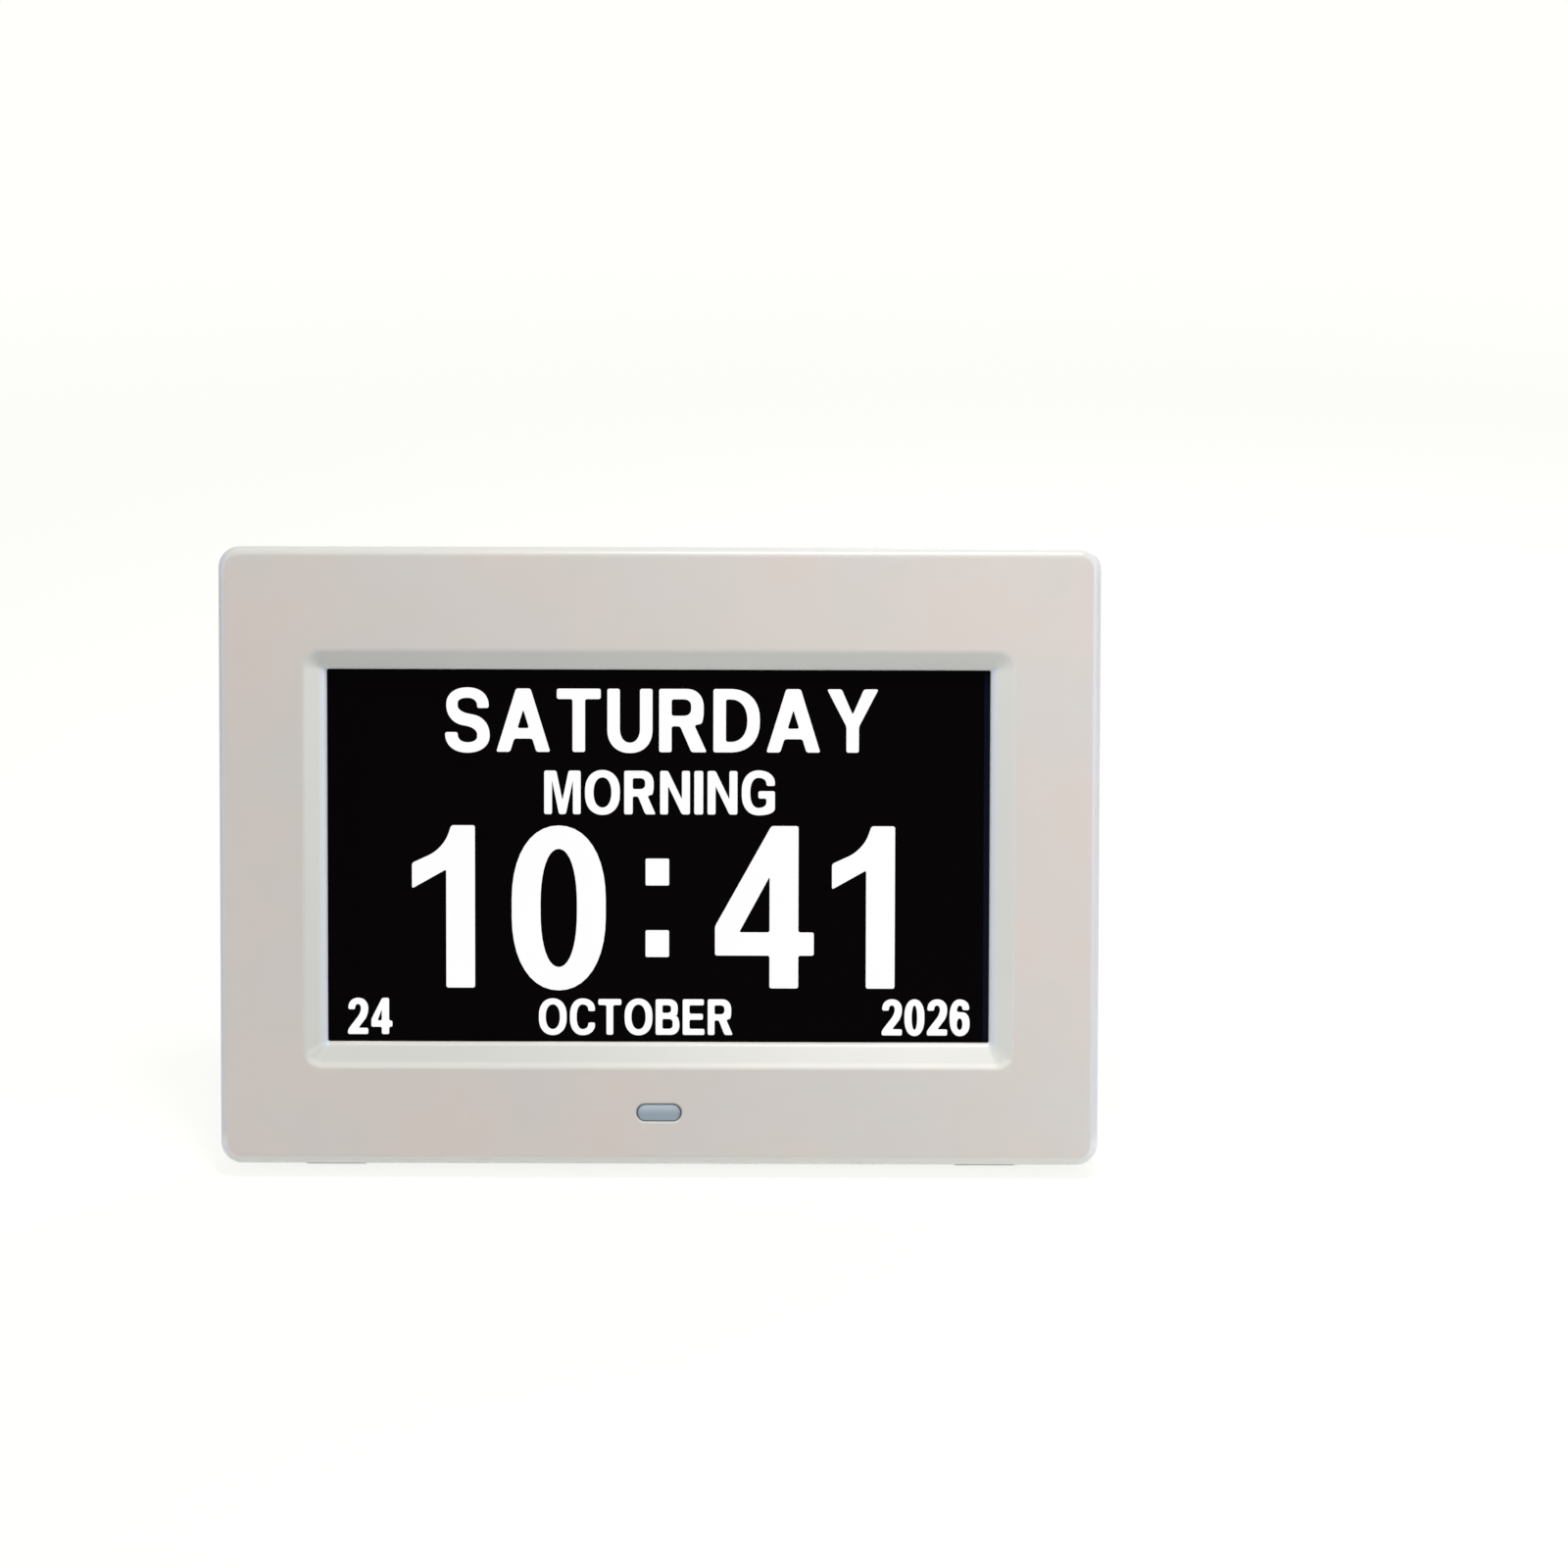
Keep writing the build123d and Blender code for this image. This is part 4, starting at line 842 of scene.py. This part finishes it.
# What the screen shows: places and heights in millimetres; strokes, gaps and softness in heights of a capital
screenTexts = {
    "dayWord": {"text": "SATURDAY", "centre": 0.4, "base": 24.3, "height": 14.8, "stem": 0.200, "bar": 0.165,
                "stretch": 0.99, "gap": 0.105, "soft": 0.035},
    "dayPart": {"text": "MORNING", "centre": -0.1, "base": 9.75, "height": 10.2, "stem": 0.205, "bar": 0.170,
                "stretch": 0.95, "gap": 0.105, "soft": 0.045},
    "hourDigits": {"text": "10", "left": -58.0, "base": -31.0, "height": 37.5, "stem": 0.176, "bar": 0.146,
                   "stretch": 1.02, "gap": 0.225, "soft": 0.014},
    "minuteDigits": {"text": "41", "left": 12.9, "base": -31.0, "height": 37.5, "stem": 0.176, "bar": 0.146,
                     "stretch": 1.02, "gap": 0.11, "soft": 0.014},
    "dateNumber": {"text": "24", "left": -73.1, "base": -42.0, "height": 8.4, "stem": 0.210, "bar": 0.175,
                   "stretch": 0.97, "gap": 0.09, "soft": 0.05},
    "monthWord": {"text": "OCTOBER", "centre": -5.6, "base": -42.0, "height": 8.4, "stem": 0.205,
                  "bar": 0.170, "stretch": 0.92, "gap": 0.10, "soft": 0.05},
    "yearNumber": {"text": "2026", "left": 52.0, "base": -42.0, "height": 8.4, "stem": 0.210, "bar": 0.175,
                   "stretch": 0.97, "gap": 0.07, "soft": 0.05},
}
colonLook = {"left": -3.35, "width": 5.5, "bases": (-6.9, -23.7), "height": 6.3, "soft": 0.35}
screenPlace = flatPlace(0.0, 0.0, spanOf("lcd_glass")[0][2] - inkLook["lift"])


def layWord(name, about):
    # letters side by side, each shifted by the widths and gaps before it
    high = about["height"] * mm
    wide = high * about["stretch"]
    loops = []
    pen = 0.0
    for sign in about["text"]:
        for corners in letterLoops(sign, about["stem"], about["bar"]):
            loops.append((roundedLoop(corners, about["soft"]) + [pen, 0]) * [wide, high])
        pen += letterWidths[sign] + about["gap"]
    length = (pen - about["gap"]) * wide
    left = about["left"] * mm if "left" in about else about["centre"] * mm - length / 2
    shifted = [loop + [left, about["base"] * mm] for loop in loops]
    flatPiece(name, shifted, inkLook["thickness"] * mm, screenPlace, "housing", "lit_pixels")


def layColon():
    left, right = colonLook["left"], colonLook["left"] + colonLook["width"]
    loops = [barLoop(left, base, right, base + colonLook["height"], colonLook["soft"]) * mm
             for base in colonLook["bases"]]
    flatPiece("timeColon", loops, inkLook["thickness"] * mm, screenPlace, "housing", "lit_pixels")


for name, about in screenTexts.items():
    layWord(name, about)
layColon()
print("screen lettered")


# Signs printed on the keys: arrows, a ring, three bars and the standard power sign, in millimetres
signLook = {
    "size": 1.25,
    "stroke": 0.36,
    "thickness": 0.05,
    "soft": 0.12,
    "ringPoints": 49,
    "arrow": (-0.62, 0.88),         # foot and point, in sizes
    "bars": (-0.75, 0.0, 0.75),
    "powerArc": (125.0, 415.0),     # degrees
    "powerStalk": (0.1, 1.25),
}


def ringLoop(radius, start=0.0, end=360.0):
    angles = np.radians(np.linspace(start, end, signLook["ringPoints"]))
    return np.column_stack([np.cos(angles), np.sin(angles)]) * radius


def keySign(key):
    # outlines as seen from the back
    look = signLook
    size, stroke, soft = look["size"], look["stroke"], look["soft"]
    turns = {"up": 0, "left": 90, "down": 180, "right": 270}
    if key in turns:
        angle = math.radians(turns[key])
        turn = np.array([[math.cos(angle), math.sin(angle)], [-math.sin(angle), math.cos(angle)]])
        foot, point = (size * share for share in look["arrow"])
        return [roundedLoop([(-size, foot), (size, foot), (0, point)], soft) @ turn]
    if key == "ok":
        return [ringLoop(size)[:-1], ringLoop(size - stroke)[:-1]]
    if key == "menu":
        return [barLoop(-size, y * size - stroke / 2, size, y * size + stroke / 2, soft)
                for y in look["bars"]]
    start, end = look["powerArc"]
    low, high = look["powerStalk"]
    arc = np.concatenate([ringLoop(size, start, end), ringLoop(size - stroke, end, start)])
    return [arc, barLoop(-stroke / 2, size * low, stroke / 2, size * high, soft)]


keyBodies = [name for name in frame["bodies"] if name.startswith("key_")]
for body in keyBodies:
    key = body.removeprefix("key_")
    low, high = spanOf(body)
    middle = (low + high) / 2
    placing = flatPlace(middle[0], middle[1], high[2] + signLook["thickness"] / 2, fromBack=True)
    flatPiece("sign_" + key, [loop * mm for loop in keySign(key)], signLook["thickness"] * mm, placing, body,
              "sign_ink")
print("keys marked:", len(keyBodies))


creaseAngle = 0.6               # radians past which an edge stays sharp


def surface(name, grids, body, slot):
    # copies of a grid of points in metres, rows by columns; the last column meets the first
    copies, rows, columns = grids.shape[:3]
    index = np.arange(copies * rows * columns).reshape(copies, rows, columns)
    ahead = np.roll(index, -1, axis=2)
    quads = np.stack([index[:, :-1], ahead[:, :-1], ahead[:, 1:], index[:, 1:]], -1).reshape(-1, 4)
    mesh = bpy.data.meshes.new(name)
    mesh.from_pydata(grids.reshape(-1, 3).tolist(), [], quads.tolist())
    sew(mesh)
    mesh.shade_smooth()
    mesh.set_sharp_from_angle(angle=creaseAngle)
    link(name, mesh, body, slot)


# Screws: pan heads with a cross, on the cover and on the two boards. An inset is counted from the left (0) or
# right (1) edge and from the lower (0) or upper (1) edge of the piece that carries the screw.
screwLook = {"rings": 22, "spokes": 72, "roundness": 6, "crossHalf": 0.15, "crossReach": 0.62,
             "crossDepth": 0.5, "crossRise": 0.45, "soft": 0.05}
screwSets = {
    "caseScrews": {"on": "front_bezel", "seat": 12.0, "towards": 1, "radius": 2.55, "rise": 1.4,
                   "insets": ((0, 8.0, 0, 8.0), (1, 8.0, 0, 8.0), (0, 8.0, 1, 8.0), (1, 8.0, 1, 8.0))},
    "boardScrews": {"on": "main_board", "seat": None, "towards": -1, "radius": 2.2, "rise": 1.2,
                    "insets": ((0, 22.0, 1, 4.0), (1, 30.0, 1, 4.0), (0, 34.0, 0, 4.0), (1, 20.0, 0, 4.0))},
    "keyBoardScrews": {"on": "key_board", "seat": None, "towards": -1, "radius": 1.9, "rise": 1.0,
                       "insets": ((0, 2.2, 0, 2.2), (1, 2.2, 0, 2.2), (0, 14.0, 1, 2.2))},
}


def makeScrews(name, about):
    # the height over the seat is the rise times the cube root of 1 - r ** roundness, less a cross whose arms
    # get shallower outwards; the last two rows turn under the head and close on its axis
    look = screwLook
    low, high = spanOf(about["on"])
    ends = (low, high)
    seat = about["seat"] or low[2]
    places = [(ends[side][0] + (1 - 2 * side) * inU, ends[edge][1] + (1 - 2 * edge) * inV, seat)
              for side, inU, edge, inV in about["insets"]]
    r = np.append(np.sin(np.linspace(0, math.pi / 2, look["rings"])), [1.0, 0.0])[:, None]
    angle = np.linspace(0, 2 * math.pi, look["spokes"], endpoint=False)[None]
    x, y = r * np.cos(angle), r * np.sin(angle)
    arms = [np.clip((look["crossHalf"] - abs(a)) / look["soft"] + 0.5, 0, 1)
            * np.clip((look["crossReach"] - abs(b)) / look["soft"] + 0.5, 0, 1) for a, b in ((x, y), (y, x))]
    crown = np.cbrt(np.clip(1 - r ** look["roundness"], 0, 1))
    height = crown - np.maximum(*arms) * look["crossDepth"] * (1 - look["crossRise"] * r)
    height[-2:] = 0.0
    radius, rise = about["radius"], about["rise"] * about["towards"]
    local = np.stack([x * radius, y * radius, height * rise], -1)
    surface(name, placed(np.array(places)[:, None, None] + local), "housing", "screw_zinc")


for name, about in screwSets.items():
    makeScrews(name, about)
print("screws set:", len(screwSets))


def rowOf(about):
    # where the pieces of an evenly spaced row stand from its middle
    return (np.arange(about["count"]) - (about["count"] - 1) / 2) * about["pitch"]


def straps(name, places, headings, path, width, thick, slot):
    # strips bent along a path of steps (along the heading, away from the board); the section is a rectangle
    # whose thickness follows the path's normal, and each end closes on its own middle
    path = np.asarray(path, float)
    slope = np.gradient(path, axis=0)
    slope /= np.linalg.norm(slope, axis=1, keepdims=True)
    normal = np.column_stack([-slope[:, 1], slope[:, 0]]) * thick / 2
    section = path[:, None] + normal[:, None] * np.array([-1, -1, 1, 1])[None, :, None]
    aside = np.broadcast_to(np.array([-1, 1, 1, -1]) * width / 2, section.shape[:2])
    local = np.stack([section[..., 0], aside, section[..., 1]], -1)
    local = np.concatenate([np.broadcast_to(local[:1].mean(1, keepdims=True), (1, 4, 3)), local,
                            np.broadcast_to(local[-1:].mean(1, keepdims=True), (1, 4, 3))])
    heads = np.asarray(headings, float)
    forward = np.column_stack([heads, np.zeros(len(heads))])[:, None, None]
    across = np.column_stack([-heads[:, 1], heads[:, 0], np.zeros(len(heads))])[:, None, None]
    grids = (np.asarray(places, float)[:, None, None] + local[..., 0:1] * forward + local[..., 1:2] * across
             + local[..., 2:3] * np.array([0, 0, 1.0]))
    surface(name, placed(grids), "housing", slot)


# Legs of the chips: how many on each side, and which sides
chipLegs = {
    "processor": {"count": 16, "pitch": 0.8, "sides": ((1, 0), (0, 1), (-1, 0), (0, -1)), "width": 0.34,
                  "reach": 1.0, "rise": 0.55},
    "memory_chip": {"count": 11, "pitch": 0.8, "sides": ((0, 1), (0, -1)), "width": 0.32,
                    "reach": 0.8, "rise": 0.45},
    "voltage_regulator": {"count": 3, "pitch": 2.1, "sides": ((0, -1),), "width": 0.8,
                          "reach": 1.6, "rise": 0.9},
}
# Lift is the height of a foot's middle over the board, root how far a leg starts inside its chip; bends are
# shares of the reach, and knee is a share of the rise
legLook = {"thick": 0.15, "lift": 0.09, "root": 0.1, "bends": (0.25, 0.45, 0.6), "knee": 0.55}


def makeLegs(chip, about):
    low, high = spanOf(chip)
    middle, half = (low + high) / 2, (high - low) / 2
    offsets = rowOf(about)
    places, headings = [], []
    for u, v in about["sides"]:
        edge = middle[:2] + half[:2] * (u, v)
        places.append(np.column_stack([edge[0] - v * offsets, edge[1] + u * offsets, 0 * offsets + low[2]]))
        headings.append(np.tile((u, v), (len(offsets), 1)))
    reach, rise, lift = about["reach"], about["rise"], legLook["lift"]
    hip, knee, heel = (share * reach for share in legLook["bends"])
    path = [(-legLook["root"], rise), (hip, rise), (knee, legLook["knee"] * rise), (heel, lift),
            (reach, lift)]
    straps(chip.replace("_", "") + "Legs", np.concatenate(places), np.concatenate(headings), path,
           about["width"], legLook["thick"], "tin_can")


for chip, about in chipLegs.items():
    makeLegs(chip, about)

# Springs inside the sockets: the side of the socket they lie on, how many, and their bent path
socketSprings = {
    "usbContacts": {"on": "usb_tongue", "inset": 0.3, "depth": ("high", 0.0), "count": 4, "pitch": 2.4,
                    "width": 1.0, "path": ((0, 0.05), (4.8, 0.05), (6.0, 0.26), (7.2, 0.30), (8.0, 0.08)),
                    "finish": "contact_gold"},
    "cardContacts": {"on": "card_socket", "inset": 2.5, "depth": ("low", 0.35), "count": 9, "pitch": 2.5,
                     "width": 1.0, "path": ((0, 0.1), (5, 0.25), (9, 0.9), (11.5, 0.5)),
                     "finish": "contact_gold"},
    "jackSpring": {"on": "dc_jack_pin", "inset": 0.4, "depth": ("low", -1.68), "count": 1, "pitch": 0.0,
                   "width": 1.6, "path": ((0, 0.05), (3.5, 0.2), (6.0, 0.75), (7.6, 0.35)),
                   "finish": "tin_can"},
}
springThick = 0.14


def makeSprings(name, about):
    low, high = spanOf(about["on"])
    depth = (low if about["depth"][0] == "low" else high)[2] + about["depth"][1]
    places = [(low[0] + about["inset"], (low[1] + high[1]) / 2 + offset, depth) for offset in rowOf(about)]
    straps(name, places, [(1, 0)] * about["count"], about["path"], about["width"], springThick,
           about["finish"])


for name, about in socketSprings.items():
    makeSprings(name, about)
print("legs and springs laid")


# Dust dome in the middle of the speaker's cone
domeLook = {"radius": 4.5, "rise": 1.7, "seat": 0.28, "rings": 14, "spokes": 48}


def makeDome():
    # a circle of radius R sin(t) at a height of rise cos(t) over the cone, for t from 0 to a right angle
    low, high = spanOf("speaker_cone")
    t = np.linspace(0, math.pi / 2, domeLook["rings"])
    radius = np.append(np.sin(t), 0.0)[:, None] * domeLook["radius"]
    height = np.append(np.cos(t), 0.0)[:, None] * domeLook["rise"]
    angle = np.linspace(0, 2 * math.pi, domeLook["spokes"], endpoint=False)[None]
    middle = (low + high) / 2
    grid = np.stack([middle[0] + radius * np.cos(angle), middle[1] + radius * np.sin(angle),
                     low[2] + domeLook["seat"] + height + 0 * angle], -1)
    surface("speakerDome", placed(grid)[None], "housing", "cone_black")


makeDome()
print("speaker domed")


# The table: pale and lit white round the clock, with a faint shadow close to it
stageLook = {
    "size": 12.0,
    "bounce": linear(236, 236, 234),
    "white": (1.0, 1.0, 0.97),
    "shade": 0.15,              # how much of the lamps' light the camera sees on the table
    "nearGlow": 0.87,
    "fade": (0.35, 1.4),        # metres from the clock
    "cloudScale": 3.0,
    "cloud": 0.002,
    "roughness": 0.8,
}


def makeFloor():
    look = stageLook
    half = look["size"] / 2
    mesh = bpy.data.meshes.new("floor")
    corners = [(-half, -half, 0), (half, -half, 0), (half, half, 0), (-half, half, 0)]
    mesh.from_pydata(corners, [], [(0, 1, 2, 3)])
    floor = add("floor", mesh)
    paint = newPaint("paleFloor")
    cloud = paint.noise(look["cloudScale"], 3.0)
    # 1 where the camera sees the floor, also in a reflection or through something clear
    seen = 0.0
    for ray in ("Is Camera Ray", "Is Glossy Ray", "Is Transmission Ray"):
        seen = paint.node("ShaderNodeLightPath", output=ray).atLeast(seen)
    away = paint.node("ShaderNodeVectorMath", {"operation": "LENGTH"}, {0: paint.place()}, "Value")
    far = away.fade(*look["fade"])
    level = seen * (far.span(look["nearGlow"], 1.0) + cloud.swing(look["cloud"]))
    dim = paint.grey(look["shade"] * (1.0 - far))
    wear(floor, paint.finish({"Base Color": paint.between(seen, look["bounce"], dim),
                              "Roughness": look["roughness"], "Specular IOR Level": 0.0,
                              "Emission Strength": 1.0,
                              "Emission Color": paint.shaded(look["white"], level)}))


# Soft lamps, in metres and watts; all of them point at the middle of the face
lampLooks = {
    "overhead": {"place": (0.08, -0.19, 0.80), "size": 0.22, "watts": 3.8, "colour": (1.0, 0.97, 0.92)},
    "rightFill": {"place": (0.50, -0.40, 0.23), "size": 0.30, "watts": 0.62, "colour": (0.94, 0.99, 1.08)},
    "leftFill": {"place": (-0.90, -0.27, 0.24), "size": 0.45, "watts": 1.15, "colour": (0.93, 0.98, 1.06)},
    "rearFill": {"place": (0.30, 0.60, 0.50), "size": 0.50, "watts": 2.2, "colour": (0.96, 0.98, 1.0)},
}
roomLook = {"air": (0.97, 0.99, 1.0), "strength": 0.39, "backdrop": (1.0, 1.0, 0.985)}


def makeLights():
    room = Paint(bpy.data.worlds.new("room"), "ShaderNodeOutputWorld")
    bpy.context.scene.world = room.owner
    look = roomLook
    air = room.node("ShaderNodeBackground", None, {"Color": look["air"], "Strength": look["strength"]})
    backdrop = room.node("ShaderNodeBackground", None, {"Color": look["backdrop"], "Strength": 1.0})
    seen = room.node("ShaderNodeLightPath", output="Is Camera Ray")
    room.close(room.node("ShaderNodeMixShader", None, {0: seen, 1: air, 2: backdrop}))
    for name, about in lampLooks.items():
        lamp = bpy.data.lights.new(name, "AREA")
        lamp.shape = "DISK"
        lamp.size = about["size"]
        lamp.energy = about["watts"]
        lamp.color = about["colour"]
        holder = add(name, lamp)
        place = Vector(about["place"])
        turn = (place - faceOrigin).normalized().to_track_quat("Z", "Y").to_matrix()
        holder.matrix_world = Matrix.Translation(place) @ turn.to_4x4()
        holder.visible_camera = False


# The camera looks from a little above the face's own axis: its eye in metres across, up and out from the
# middle of the face, its turn, tilt and roll in degrees against the face, its lens and sensor in millimetres
cameraLook = {"eye": (0.0297, 0.0548, 0.800), "turn": 0.052, "tilt": 2.693, "roll": 0.153, "lens": 79.18,
              "sensor": 36.0, "nearest": 0.01}


def makeCamera():
    lens = bpy.data.cameras.new("camera")
    lens.lens = cameraLook["lens"]
    lens.sensor_width = cameraLook["sensor"]
    lens.clip_start = cameraLook["nearest"]
    camera = add("camera", lens)
    bpy.context.scene.camera = camera
    faceTurn = Matrix((rightAxis, upAxis, outAxis)).transposed()
    turn, tilt, roll = (math.radians(cameraLook[key]) for key in ("turn", "tilt", "roll"))
    own = Matrix.Rotation(turn, 3, "Y") @ Matrix.Rotation(-tilt, 3, "X") @ Matrix.Rotation(roll, 3, "Z")
    eye = faceOrigin + faceTurn @ Vector(cameraLook["eye"])
    camera.matrix_world = Matrix.Translation(eye) @ (faceTurn @ own).to_4x4()


makeFloor()
makeLights()
makeCamera()
bpy.context.scene.view_settings.view_transform = "Standard"
print("stage set")
